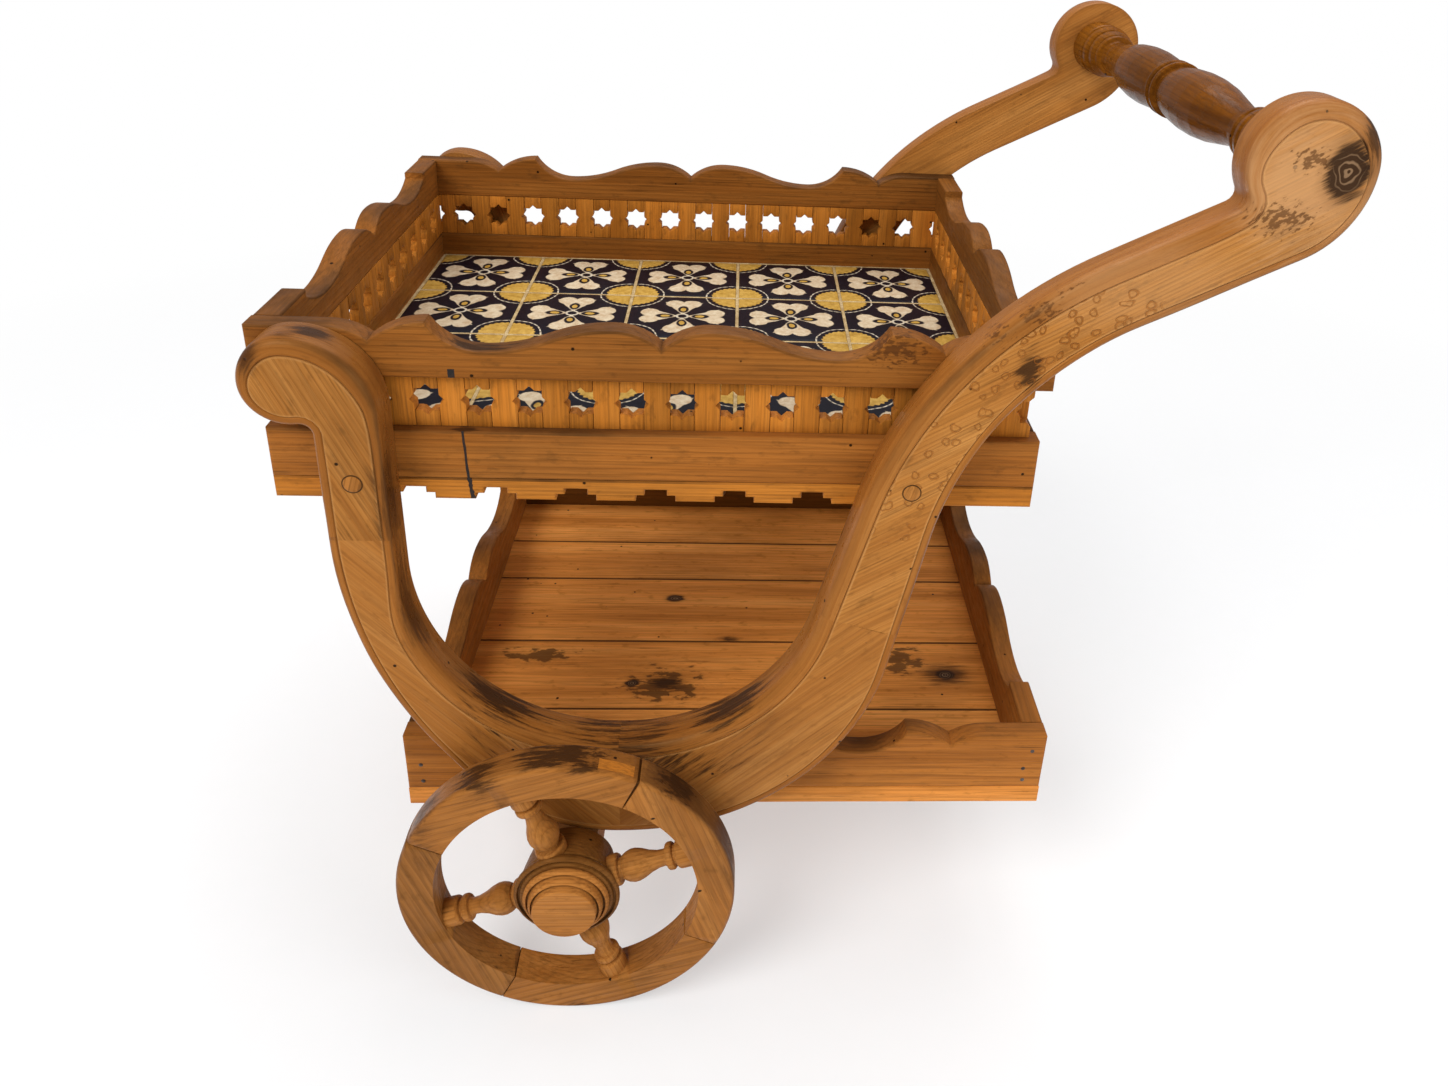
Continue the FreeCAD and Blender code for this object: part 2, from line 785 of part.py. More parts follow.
# Trim under the aprons, stepped along the long sides
def stepped_outline():
    half = size.long_apron_length / 2
    foot = [point(-half, 0)]
    first = -(size.step_count - 1) / 2 * size.step_pitch - size.step_shift
    mouth = size.step_mouth / 2
    top = 2 * size.step_rise
    for number in range(int(size.step_count)):
        middle = first + number * size.step_pitch
        inner = mouth - size.step_tread
        foot += [
            point(middle - mouth, 0), point(middle - mouth, size.step_rise),
            point(middle - inner, size.step_rise), point(middle - inner, top),
            point(middle + inner, top), point(middle + inner, size.step_rise),
            point(middle + mouth, size.step_rise), point(middle + mouth, 0),
        ]
    return polygon([*foot, point(half, 0), point(half, size.trim_height), point(-half, size.trim_height)])


for side in SIDES:
    body = long_board(f"{side}_trim", [stepped_outline()], "rail_thick", side, MIDDLE_X, "tray_bottom")
    node(body, f"{side}_stepped_trim")
for end, (outward, x) in ENDS.items():
    foot = x if outward > 0 else f"{x} - end_apron_thick"
    body = box(f"{end}_trim", "end_apron_thick", "field_width", "trim_height", foot, FIELD_Y, "tray_bottom")
    node(body, f"{end}_trim")

# Lower tray: scalloped sides on a floor of planks
shelf_side = scalloped_outline(size.shelf_length, size.shelf_side_height, False)
shelf_end = scalloped_outline(size.field_width, size.shelf_side_height, True)
shelf_middle = size.shelf_setback + size.shelf_length / 2
for side, sign in SIDES.items():
    spots = (size.bow_setback - size.shelf_screw_spread, size.bow_setback + size.shelf_screw_spread)
    holes = [circle(x - shelf_middle, size.shelf_screw_lift, size.screw_hole) for x in spots]
    body = long_board(f"{side}_shelf", [shelf_side, *holes], "rail_thick", side, SHELF_MIDDLE, "shelf_floor")
    node(body, f"{side}_shelf_side")
SHELF_ENDS = {"front": (-1, f"{SHELF_X} + rail_thick"), "rear": (1, f"{SHELF_X} + shelf_length - rail_thick")}
for end, (outward, x) in SHELF_ENDS.items():
    body = end_board(f"{end}_shelf", [shelf_end], "rail_thick", outward, x, "shelf_floor")
    node(body, f"{end}_shelf_side")
edge = "-tray_width / 2"
for number in ("one", "two", "three", "four", "five"):
    width = f"plank_{number}"
    body = box(f"plank_{number}", "shelf_length", width, "plank_thick", SHELF_X, edge, "shelf_bottom")
    node(body, f"shelf_plank_{number}")
    edge = f"{edge} + {width}"

# Turned handle between the two arm heads
HANDLE_X = "front_end + tray_length + handle_reach"
HANDLE_Z = "rail_top + handle_rise"


def handle_outline():
    """Half section about the X axis, drawn outwards from the middle and mirrored."""
    half = size.tray_width / 2
    ring = size.handle_ring_length / 2
    tenon = size.handle_tenon_diameter / 2
    tip = half + size.handle_tenon_length - size.running_gap
    collar = half - size.handle_end_length
    waist = point(ring, size.handle_waist_radius)
    bulb = point(half - size.handle_bulb_from_end, size.handle_bulb_radius)
    neck = point(half - size.handle_neck_from_end, size.handle_neck_radius)
    lip = point(collar, size.handle_end_radius)
    right = [
        swell(point(0, size.handle_ring_radius), waist),
        swell(bulb, waist),
        *ogee(bulb, neck),
        swell(neck, lip),
        *polyline([lip, point(half, size.handle_end_radius), point(half, tenon), point(tip, tenon),
                   point(tip, 0)]),
    ]
    return right + mirrored(right) + polyline([point(-tip, 0), point(tip, 0)])


bar = turned("handle_bar", handle_outline(), axis="X_Axis")
bar.Placement = Placement(Vector(), Rotation(UP, 90))
node(place(bar, HANDLE_X, "0", HANDLE_Z), "handle_bar")

# Axle beam, fixed axle, thrust washers and end collars
AXLE_X = "front_end + axle_setback"
ACROSS = Placement(Vector(), Rotation(Vector(1, 0, 0), -90))
axle_bore = cylinder("axle_bore", "axle_hole", "2 * frame_face", ACROSS)
place(axle_bore, AXLE_X, "-frame_face", "wheel_radius")
beam = box("beam_blank", "beam_width", "2 * frame_face", "beam_height", f"{AXLE_X} - beam_width / 2",
           "-frame_face", "shelf_bottom - beam_height")
node(cut("axle_beam", beam, [axle_bore]), "axle_beam")
axle = cylinder("axle", "axle_diameter / 2", "axle_length", ACROSS)
node(place(axle, AXLE_X, "-axle_length / 2", "wheel_radius"), "axle")


def ring(name, radius, length, start):
    """A pair of rings on the axle, one at each side of the cart."""
    pair = []
    for side, sign in SIDES.items():
        body = padded(f"{side}_{name}", "XZ_Plane", [circle(0, 0, radius), circle(0, 0, size.axle_hole)],
                      length, reverse=sign > 0)
        pair.append(place(body, AXLE_X, f"{sign} * ({start})", "wheel_radius"))
    return node(group(name, pair), name)


ring("axle_washers", size.washer_diameter / 2, "washer_thick", "frame_face")
ring("axle_collars", size.collar_diameter / 2, "collar_length", "collar_start")

# Spoked wheels, drawn with the hub's back at zero and the axis along Z
rim_inner = size.wheel_radius - size.felloe_depth
spoke_seat = size.hub_collar_radius - size.hub_groove
tenon_radius = size.spoke_tenon_diameter / 2


def hub_outline():
    """Barrel that swells from its back to a collar, bored for the bush and recessed in front."""
    bore = size.bush_radius + size.fit_clearance
    collar = size.hub_length - size.hub_collar_length
    groove = collar - size.hub_groove
    floor = size.hub_length - size.hub_recess_depth
    back = point(size.hub_back_radius, 0)
    belly = point(size.hub_barrel_radius, groove)
    middle = point((back.x + belly.x) / 2 + size.hub_groove / 2, groove / 2)
    throat = size.hub_barrel_radius - size.hub_groove
    return [
        Part.Arc(back, middle, belly),
        *polyline([belly, point(throat, groove), point(throat, collar), point(size.hub_collar_radius, collar),
                   point(size.hub_collar_radius, size.hub_length),
                   point(size.hub_recess_radius, size.hub_length), point(size.hub_recess_radius, floor),
                   point(bore, floor), point(bore, 0), back]),
    ]


def cap_outline():
    """Flanged cap that closes the recess."""
    flange = point(size.cap_flange_radius, size.cap_flange_length)
    top = size.cap_length
    rim = point(size.cap_face_radius, top - size.hub_groove)
    return [
        *polyline([point(0, 0), point(size.cap_flange_radius, 0), flange]),
        *polyline([flange, point(size.cap_face_radius + size.hub_groove, flange.y)]),
        *polyline([point(size.cap_face_radius + size.hub_groove, flange.y), rim]),
        *polyline([rim, point(size.cap_face_radius, top), point(0, top), point(0, 0)]),
    ]


def spoke_outline():
    """Half section of a turned spoke, from its hub tenon out to its felloe tenon."""
    near = spoke_seat + size.running_gap
    far = math.sqrt(rim_inner ** 2 - size.spoke_collar_radius ** 2) - size.running_gap
    start = near - size.spoke_tenon_length
    end = rim_inner + size.spoke_tenon_length - size.running_gap
    collar = size.spoke_collar_radius
    bead = collar / 2
    seat = point(near, size.spoke_waist_radius + bead / 2)
    bulb = point(near + size.spoke_bulb_from_hub, size.spoke_bulb_radius)
    throat = point(far - size.spoke_throat_from_rim, size.spoke_waist_radius)
    return [
        *polyline([point(start, 0), point(start, tenon_radius), point(near, tenon_radius), seat]),
        swell(bulb, seat),
        *ogee(bulb, throat),
        swell(throat, point(far - bead, collar)),
        *polyline([point(far - bead, collar), point(far, collar), point(far, tenon_radius),
                   point(end, tenon_radius), point(end, 0), point(start, 0)]),
    ]


def felloe_outline():
    """Section of the rim with its two tread edges rounded."""
    low = size.wheel_mid - size.felloe_width / 2
    high = size.wheel_mid + size.felloe_width / 2
    low_arc, low_start, low_end = rounded(point(rim_inner, low), point(size.wheel_radius, low),
                                          point(size.wheel_radius, high), size.felloe_round)
    high_arc, high_start, high_end = rounded(point(size.wheel_radius, low), point(size.wheel_radius, high),
                                             point(rim_inner, high), size.felloe_round)
    return [
        *polyline([point(rim_inner, low), low_start]),
        low_arc,
        *polyline([low_end, high_start]),
        high_arc,
        *polyline([high_end, point(rim_inner, high), point(rim_inner, low)]),
    ]


def spoke_sockets(name, start, depth, turn):
    """Radial sockets for the spoke tenons."""
    sockets = []
    for number in range(int(size.spoke_count)):
        angle = turn + number * 360 / size.spoke_count
        foot = along(angle) * start + Vector(0, 0, size.wheel_mid)
        tilt = Rotation(UP, angle) * Rotation(Vector(0, 1, 0), 90)
        sockets.append(cylinder(f"{name}_{number}", "spoke_tenon_diameter / 2 + fit_clearance", depth,
                                Placement(foot, tilt)))
    return sockets


def wheel(side):
    sign = SIDES[side]
    turn = size.spoke_angle * -sign
    outward = Placement(Vector(size.front_end + size.axle_setback, sign * size.hub_back, size.wheel_radius),
                        Rotation(Vector(1, 0, 0), -90 * sign))
    crack = math.degrees(size.felloe_crack / size.wheel_radius)
    felloe = turned(f"{side}_felloe", felloe_outline(), f"360 / spoke_count - {crack}")
    felloes = ring_of(felloe, "spoke_count")
    felloes.Placement = Placement(Vector(), Rotation(UP, turn + (180 + crack) / size.spoke_count))
    mortises = spoke_sockets(f"{side}_mortise", rim_inner - size.felloe_round,
                             "spoke_tenon_length + felloe_round", turn)
    rim = cut(f"{side}_felloes", felloes, mortises)
    spoke = turned(f"{side}_spoke", spoke_outline(), axis="X_Axis")
    spokes = ring_of(spoke, "spoke_count")
    hub = turned(f"{side}_hub_turning", hub_outline())
    sockets = spoke_sockets(f"{side}_socket", spoke_seat - size.spoke_tenon_length,
                            "spoke_tenon_length + hub_collar_length", turn)
    hub = cut(f"{side}_hub", hub, sockets)
    cap = turned(f"{side}_cap", cap_outline())
    bush_face = [circle(0, 0, size.bush_radius), circle(0, 0, size.axle_hole)]
    bush = padded(f"{side}_bush", "XY_Plane", bush_face, "hub_length - hub_recess_depth")
    lift = Placement(Vector(0, 0, size.wheel_mid), Rotation(UP, turn))
    spokes.Placement = outward * lift
    cap.Placement = outward * Placement(Vector(0, 0, size.hub_length), Rotation())
    for piece in (rim, hub, bush):
        piece.Placement = outward
    pieces = {"felloes": rim, "spokes": spokes, "hub": hub, "hub_cap": cap, "bush": bush}
    for label, piece in pieces.items():
        node(piece, f"{side}_wheel_{label}")


for side in SIDES:
    wheel(side)

# Swivel caster: block, plate with screws, kingpin, fork, wheel and its axle
CASTER_X = "front_end + caster_setback"
ROLL_X = f"{CASTER_X} + caster_trail"
block = box("caster_block_blank", "caster_block_length", "caster_block_width", "caster_block_height",
            f"{CASTER_X} - caster_block_length / 2", "-caster_block_width / 2", "plate_top")
pin_radius = size.kingpin_diameter / 2
pin_top = size.plate_top + size.kingpin_head_height
pin_hole = pin_radius + size.bearing_clearance
half_plate = size.plate_length / 2
plate_side = size.plate_width / 2
screw_x = half_plate - size.plate_screw_inset
screw_y = plate_side - size.plate_screw_inset
screw_spots = [(i * screw_x, j * screw_y) for i in (-1, 1) for j in (-1, 1)]
pilot_holes = []
plate_screws = []
for number, (x, y) in enumerate(screw_spots):
    hole = cylinder(f"pilot_{number}", "screw_hole", "plate_screw_length")
    pilot_holes.append(place(hole, f"{CASTER_X} + {x}", f"{y}", "plate_top"))
    shank = size.screw_diameter / 2
    head = size.screw_head_diameter / 2
    reach = size.plate_thick + size.plate_screw_length - size.running_gap
    outline = polygon([
        point(0, -size.plate_thick), point(head, -size.plate_thick), point(head, 0),
        point(shank, 0), point(shank, reach - size.screw_diameter), point(0, reach),
    ])
    screw = turned(f"plate_screw_{number}", outline)
    plate_screws.append(place(screw, f"{CASTER_X} + {x}", f"{y}", "plate_bottom"))
nut_well = cylinder("nut_well", "kingpin_head_diameter / 2 + fit_clearance", "kingpin_head_height")
place(nut_well, CASTER_X, "0", "plate_top")
node(cut("caster_block", block, [nut_well, *pilot_holes]), "caster_block")
plate_outline = rectangle(-half_plate, -plate_side, half_plate, plate_side)
plate_holes = [circle(x, y, size.screw_hole) for x, y in screw_spots] + [circle(0, 0, pin_hole)]
plate = padded("caster_plate", "XY_Plane", [plate_outline, *plate_holes], "plate_thick")
node(place(plate, CASTER_X, "0", "plate_bottom"), "caster_plate")
node(group("caster_screws", plate_screws), "caster_screws")
crown_bottom = size.fork_crown_top - size.fork_thick
pin_head = size.kingpin_head_diameter / 2
pin_foot = crown_bottom - size.running_gap - size.kingpin_head_height
pin_outline = polygon([
    point(0, pin_foot), point(pin_head, pin_foot), point(pin_head, crown_bottom - size.running_gap),
    point(pin_radius, crown_bottom - size.running_gap), point(pin_radius, size.plate_top),
    point(pin_head, size.plate_top), point(pin_head, pin_top), point(0, pin_top),
])
node(place(turned("kingpin", pin_outline), CASTER_X, "0", "0"), "caster_kingpin")


def fork_cheek():
    """Cheek that slopes back from the crown to an eye round the wheel's axle."""
    half = size.fork_crown_length / 2
    top = size.fork_crown_top
    eye = point(size.caster_trail, size.caster_radius)
    corners = []
    for corner in (point(-half, top), point(half, top)):
        gap = corner - eye
        reach = gap.Length
        tilt = math.atan2(gap.y, gap.x)
        swing = math.acos(size.fork_eye_radius / reach)
        turn = tilt + swing if corner.x < eye.x - size.fork_eye_radius else tilt - swing
        corners.append(eye + point(math.cos(turn), math.sin(turn)) * size.fork_eye_radius)
    front, back = corners
    return [
        *polyline([front, point(-half, top), point(half, top), back]),
        arc_about(eye, back, front, point(0, -1)),
    ]


cheek_face = [fork_cheek(), circle(size.caster_trail, size.caster_radius, size.caster_axle_diameter / 2
                                   + size.fit_clearance)]
cheeks = []
for side, sign in SIDES.items():
    cheek = padded(f"{side}_cheek", "XZ_Plane", cheek_face, "fork_thick", reverse=sign > 0)
    cheeks.append(place(cheek, CASTER_X, f"{sign} * fork_inside / 2", "0"))
half_crown = size.fork_crown_length / 2
crown_face = [rectangle(-half_crown, -size.fork_inside / 2, half_crown, size.fork_inside / 2),
              circle(0, 0, pin_hole)]
crown = padded("fork_crown", "XY_Plane", crown_face, "fork_thick")
place(crown, CASTER_X, "0", "fork_crown_top - fork_thick")
fork = doc.addObject("Part::MultiFuse", "caster_fork")
fork.Shapes = [crown, *cheeks]
fork.Refine = True
node(fork, "caster_fork")


def caster_outline():
    """Half section of the caster's wheel about the X axis."""
    half = size.caster_width / 2
    hub = size.caster_hub_width / 2
    web = size.caster_web_width / 2
    rim = size.caster_radius - size.caster_rim_depth
    bore = size.caster_axle_diameter / 2 + size.bearing_clearance
    tread_arc, start, end = rounded(point(half, rim), point(half, size.caster_radius),
                                    point(0, size.caster_radius), size.felloe_round)
    right = [
        *polyline([point(hub, bore), point(hub, size.caster_hub_radius), point(web, size.caster_hub_radius),
                   point(web, rim), point(half, rim), start]),
        tread_arc,
        *polyline([end, point(0, size.caster_radius)]),
    ]
    return right + mirrored(right) + polyline([point(-hub, bore), point(hub, bore)])


roller = turned("caster_roller", caster_outline(), axis="X_Axis")
roller.Placement = Placement(Vector(), Rotation(UP, 90))
node(place(roller, ROLL_X, "0", "caster_radius"), "caster_wheel")
bolt_reach = size.fork_inside / 2 + size.fork_thick
bolt_radius = size.caster_axle_diameter / 2
bolt_head = bolt_radius + size.caster_axle_head / 2
bolt_end = bolt_reach + size.caster_axle_head
bolt_outline = polygon([
    point(-bolt_end, 0), point(-bolt_end, bolt_head),
    point(-bolt_reach, bolt_head), point(-bolt_reach, bolt_radius),
    point(bolt_reach, bolt_radius), point(bolt_reach, bolt_head),
    point(bolt_end, bolt_head), point(bolt_end, 0),
])
bolt = turned("caster_bolt", bolt_outline, axis="X_Axis")
bolt.Placement = Placement(Vector(), Rotation(UP, 90))
node(place(bolt, ROLL_X, "0", "caster_radius"), "caster_axle")

# Checks, then one file for each piece
doc.recompute()
for thing in doc.Objects:
    if "Invalid" in thing.State or "Error" in thing.State:
        raise RuntimeError(f"{thing.Label} did not build: {thing.State}")
os.makedirs("parts", exist_ok=True)
for thing in NODES:
    if thing.Shape.isNull() or not thing.Shape.isValid():
        raise RuntimeError(f"{thing.Label} has no valid shape")
    thing.Shape.exportStep(f"parts/{thing.Label}.step")
print(len(NODES), "pieces")
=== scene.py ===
# %% [markdown]
# # A tiled serving cart
# The cart is aged pine: two bowed side frames carry a tiled tray, a plank tray, a turned
# handle and two spoked wheels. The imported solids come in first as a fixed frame, and every
# piece made here is measured from them, so the wood always lies where the joinery says.

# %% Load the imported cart
import math
import random

import bmesh
import bpy
import numpy as np
from mathutils import Matrix, Vector
from mathutils.geometry import delaunay_2d_cdt


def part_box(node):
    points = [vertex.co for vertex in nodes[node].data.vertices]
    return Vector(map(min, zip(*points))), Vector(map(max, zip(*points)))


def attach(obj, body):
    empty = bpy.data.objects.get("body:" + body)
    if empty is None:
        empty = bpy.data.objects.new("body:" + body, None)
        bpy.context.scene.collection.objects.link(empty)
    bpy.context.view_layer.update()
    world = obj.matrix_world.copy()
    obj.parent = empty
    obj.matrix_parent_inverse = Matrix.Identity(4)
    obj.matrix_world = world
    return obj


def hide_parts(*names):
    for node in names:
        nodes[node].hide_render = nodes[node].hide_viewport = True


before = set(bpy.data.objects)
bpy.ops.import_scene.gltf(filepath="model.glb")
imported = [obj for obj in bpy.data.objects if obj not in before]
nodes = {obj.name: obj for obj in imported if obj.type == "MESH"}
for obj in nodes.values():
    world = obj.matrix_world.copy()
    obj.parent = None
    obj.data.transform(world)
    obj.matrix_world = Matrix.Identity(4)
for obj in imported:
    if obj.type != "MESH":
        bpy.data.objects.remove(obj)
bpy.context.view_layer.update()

# %% [markdown]
# ## Small tools
# Colours are written as the hex values that a paint program shows, and Blender wants them
# linear, so one function converts them. Another adds a node, sets it and links it in one
# line. Lengths are thought of in millimetres, and MM turns them to metres.

# %% Colour and node helpers
MM = 0.001


def linear(colour):
    """sRGB hex to the linear colour that Blender works in."""
    parts = [int(colour[i:i + 2], 16) / 255 for i in (1, 3, 5)]
    return [c / 12.92 if c <= 0.04045 else ((c + 0.055) / 1.055) ** 2.4 for c in parts] + [1]


def add(tree, kind, inputs=None, **settings):
    """Add one node. An input that is a socket is linked, any other value is set."""
    made = tree.nodes.new(kind)
    for name, value in settings.items():
        setattr(made, name, value)
    for key, value in (inputs or {}).items():
        if isinstance(value, bpy.types.NodeSocket):
            tree.links.new(value, made.inputs[key])
        else:
            made.inputs[key].default_value = value
    return made


def new_material(name):
    """Empty node material, with its tree."""
    material = bpy.data.materials.new(name)
    material.use_nodes = True
    material.node_tree.nodes.clear()
    return material, material.node_tree


def show(piece, body, *stands_for, slot=None):
    """Fix a finished piece to its body, in place of the solids that it stands for."""
    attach(piece, body)
    if stands_for:
        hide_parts(*stands_for)
    return piece


def new_object(name, data):
    made = bpy.data.objects.new(name, data)
    bpy.context.scene.collection.objects.link(made)
    return made


print("grey #808080 is", round(linear("#808080")[0], 3), "in linear light")

# %% [markdown]
# ## Camera
# The photograph was taken from above the left side with a fairly wide lens. Its place, turn
# and lens were solved from the tile grid and the long edges of the tray. The picture is a
# crop, so the lens axis isn't in the middle of it: the camera's shift puts that right.

# %% Camera at the photograph's view
PHOTO_WIDTH, PHOTO_HEIGHT = 1448, 1086
FOCAL_PIXELS = 1105.7
AXIS_PIXEL = (811.3, 352.6)
CAMERA_PLACE = (-0.0416, -0.9651, 0.9226)
YAW, PITCH, ROLL = -0.076, 0.422, 0.056
SENSOR = 36
NEAREST = 0.01

camera_data = bpy.data.cameras.new("photo_camera")
camera_data.sensor_width = SENSOR
camera_data.lens = FOCAL_PIXELS / PHOTO_WIDTH * SENSOR
camera_data.shift_x = (PHOTO_WIDTH / 2 - AXIS_PIXEL[0]) / PHOTO_WIDTH
camera_data.shift_y = (AXIS_PIXEL[1] - PHOTO_HEIGHT / 2) / PHOTO_WIDTH
camera_data.clip_start = NEAREST
right = Vector((math.cos(YAW), math.sin(YAW), 0))
level = Vector((-math.sin(YAW), math.cos(YAW), 0))
ahead = level * math.cos(PITCH) - Vector((0, 0, math.sin(PITCH)))
above = level * math.sin(PITCH) + Vector((0, 0, math.cos(PITCH)))
rolled_right = right * math.cos(ROLL) + above * math.sin(ROLL)
rolled_up = above * math.cos(ROLL) - right * math.sin(ROLL)
camera = new_object("photo_camera", camera_data)
camera.matrix_world = (Matrix.Translation(CAMERA_PLACE)
                       @ Matrix((rolled_right, rolled_up, -ahead)).transposed().to_4x4())
bpy.context.scene.camera = camera
print("camera lens", round(camera_data.lens, 2), "mm")

# %% [markdown]
# ## Studio
# The cart stands on a white sweep under broad soft lamps. The floor keeps a soft shadow near
# the cart and fades to plain white away from it, as in the photograph. That white is only for
# rays straight from the camera: it puts no extra light or reflection on the wood.

# %% Floor, world and lamps
FADE_FROM, FADE_TO = 0.7, 2.0
SHADOW_WHITE = 0.45
SPECKLE = 40.0
FLOOR_HALF = 30
WORLD_LIGHT = 0.36
WHITE = (1, 1, 1, 1)
CART_MIDDLE = Vector((0, 0, 0.4))

scene = bpy.context.scene
scene.view_settings.view_transform = "Standard"


sweep_paper, tree = new_material("white_sweep_paper")
floor_at = add(tree, "ShaderNodeTexCoord").outputs["Object"]
speckle = add(tree, "ShaderNodeTexNoise", {"Vector": floor_at, "Scale": SPECKLE}).outputs["Fac"]
paper = add(tree, "ShaderNodeMix", {0: speckle, 6: linear("#f4f4f3"), 7: linear("#f7f7f7")},
            data_type="RGBA").outputs[2]
lit = add(tree, "ShaderNodeBsdfDiffuse", {"Color": paper}).outputs[0]
plain_white = add(tree, "ShaderNodeEmission", {"Color": WHITE, "Strength": 1.0}).outputs[0]
away = add(tree, "ShaderNodeVectorMath", {0: floor_at}, operation="LENGTH").outputs["Value"]
fade = add(tree, "ShaderNodeMapRange", {"Value": away, "From Min": FADE_FROM, "From Max": FADE_TO,
                                        "To Min": SHADOW_WHITE}).outputs[0]
seen = add(tree, "ShaderNodeLightPath").outputs["Is Camera Ray"]
share = add(tree, "ShaderNodeMath", {0: seen, 1: fade}, operation="MULTIPLY").outputs[0]
mixed = add(tree, "ShaderNodeMixShader", {0: share, 1: lit, 2: plain_white}).outputs[0]
add(tree, "ShaderNodeOutputMaterial", {"Surface": mixed})

floor_mesh = bpy.data.meshes.new("floor")
floor_corners = ((-1, -1), (1, -1), (1, 1), (-1, 1))
floor_mesh.from_pydata([(x * FLOOR_HALF, y * FLOOR_HALF, 0) for x, y in floor_corners], [], [(0, 1, 2, 3)])
floor_mesh.materials.append(sweep_paper)
floor = new_object("floor", floor_mesh)

world = bpy.data.worlds.new("studio")
scene.world = world
world.use_nodes = True
tree = world.node_tree
tree.nodes.clear()
soft = add(tree, "ShaderNodeBackground", {"Color": linear("#f6f8ff"), "Strength": WORLD_LIGHT}).outputs[0]
white = add(tree, "ShaderNodeBackground", {"Color": WHITE, "Strength": 1.0}).outputs[0]
seen = add(tree, "ShaderNodeLightPath").outputs["Is Camera Ray"]
mixed = add(tree, "ShaderNodeMixShader", {0: seen, 1: soft, 2: white}).outputs[0]
add(tree, "ShaderNodeOutputWorld", {"Surface": mixed})

for lamp, place, size, watts in (("key", (-1.9, -2.2, 2.9), 2.2, 108),
                                 ("fill", (2.4, -1.9, 1.6), 2.2, 34),
                                 ("top", (0.3, 0.9, 3.0), 2.6, 50)):
    lamp_data = bpy.data.lights.new(lamp, "AREA")
    lamp_data.energy = watts
    lamp_data.shape = "DISK"
    lamp_data.size = size
    lamp_object = new_object(lamp, lamp_data)
    lamp_object.location = place
    lamp_object.rotation_euler = (CART_MIDDLE - Vector(place)).to_track_quat("-Z", "Y").to_euler()
print("studio has a floor and", len(bpy.data.lights), "lamps")

# %% [markdown]
# ## Aged pine
# Nearly everything is old pine, planed, stained honey brown and waxed. Four things make pine
# look like pine: growth rings cut by the saw, fine fibre, knots, and the marks of use. The
# growth rings are circles about the tree's middle, so they come from a ring wave in a space
# that is squeezed along the grain. Each piece carries its own grain coordinates in an
# attribute, so a leg's grain runs up and a curved rim's grain runs round.

# %% Sizes of grain and marks
RING_GAP = 4.5 * MM
WAVE_TURN = 0.314
GRAIN_SQUEEZE = (0.1, 1, 1)
KNOT_CELLS = (4.2, 9.5, 9.5)
HOLE_CELL = 15 * MM
DENT_CELL = 11 * MM
DENT_BENT = 7 * MM
DENT_ROUND = 0.24
DENT_SPARE, HOLE_SPARE = 0.3, 0.78
DENT_POLISH = 0.6
BENT_CELLS = 90.0
KNOT_TURNS = 27.0
MIDDLE_STREAK, STREAK_SPREAD = 0.51, 0.17
TONE_STEP = 0.26
POLISH_GLOSS = -0.22
AMBER_WAX, WAX_IOR = "#f0b878", 1.46
RELIEF_DEEP, RELIEF_STRONG = 0.5 * MM, 0.55
# Fibre, streaks, stains, scratches and mottling: cells to a metre along the grain and across
# it, and detail. Fibre is 1.7 mm wide and 70 mm long, streaks 22 mm wide, stains 110 mm wide.
WOOD_NOISE = ((14, 600, 3.0), (2.0, 46, 4.0), (4.5, 9, 5.0), (11, 300, 2.0), (60, 130, 3.0))
STROKES, SPECKS = (20, 240, 5.0, 0.7), (170, 330, 3.0)
# Kinds of mark: raggedness, strength of the stain round it, core from, core to, strength, colour
MARK_KINDS = {"dry": (1.5, 0.0, 1.2, 0.4, 0.55, "#c89a6b"),
              "pale": (1.5, 0.0, 1.2, 0.4, 0.22, "#c89a6b"),
              "burn": (2.4, 0.5, 1.0, 0.5, 0.70, "#3a2110"),
              "char": (3.6, 0.45, 0.9, 0.5, 0.82, "#2a190e"),
              "stain": (4.2, 0.25, 0.85, 0.55, 0.72, "#38230f"),
              "worm": (5.5, 0.12, 0.75, 0.35, 0.70, "#4b2a14"),
              "knot": (1.1, 0.5, 1.0, 0.72, 0.92, "#231610")}
print("noises of the wood:", len(WOOD_NOISE), "and kinds of mark:", len(MARK_KINDS))

# %% Noise along the grain, places and dents
def grainy(tree, at, along, across, detail, rough=0.6):
    """Noise in cells that are stretched along the grain."""
    cells = add(tree, "ShaderNodeVectorMath", {0: at, 1: (along, across, across)},
                operation="MULTIPLY").outputs[0]
    return add(tree, "ShaderNodeTexNoise", {"Vector": cells, "Scale": 1.0, "Detail": detail,
                                            "Roughness": rough}).outputs["Fac"]


def from_middle(tree, here, middle, reach):
    """Distance from the middle of an oval place, 1 at its rim. Both are in millimetres."""
    inverse = Vector([1 / (half * MM) for half in reach])
    moved = add(tree, "ShaderNodeVectorMath", {0: here, 1: inverse, 2: -Vector(middle) * MM * inverse},
                operation="MULTIPLY_ADD").outputs[0]
    return add(tree, "ShaderNodeVectorMath", {0: moved}, operation="LENGTH").outputs["Value"]


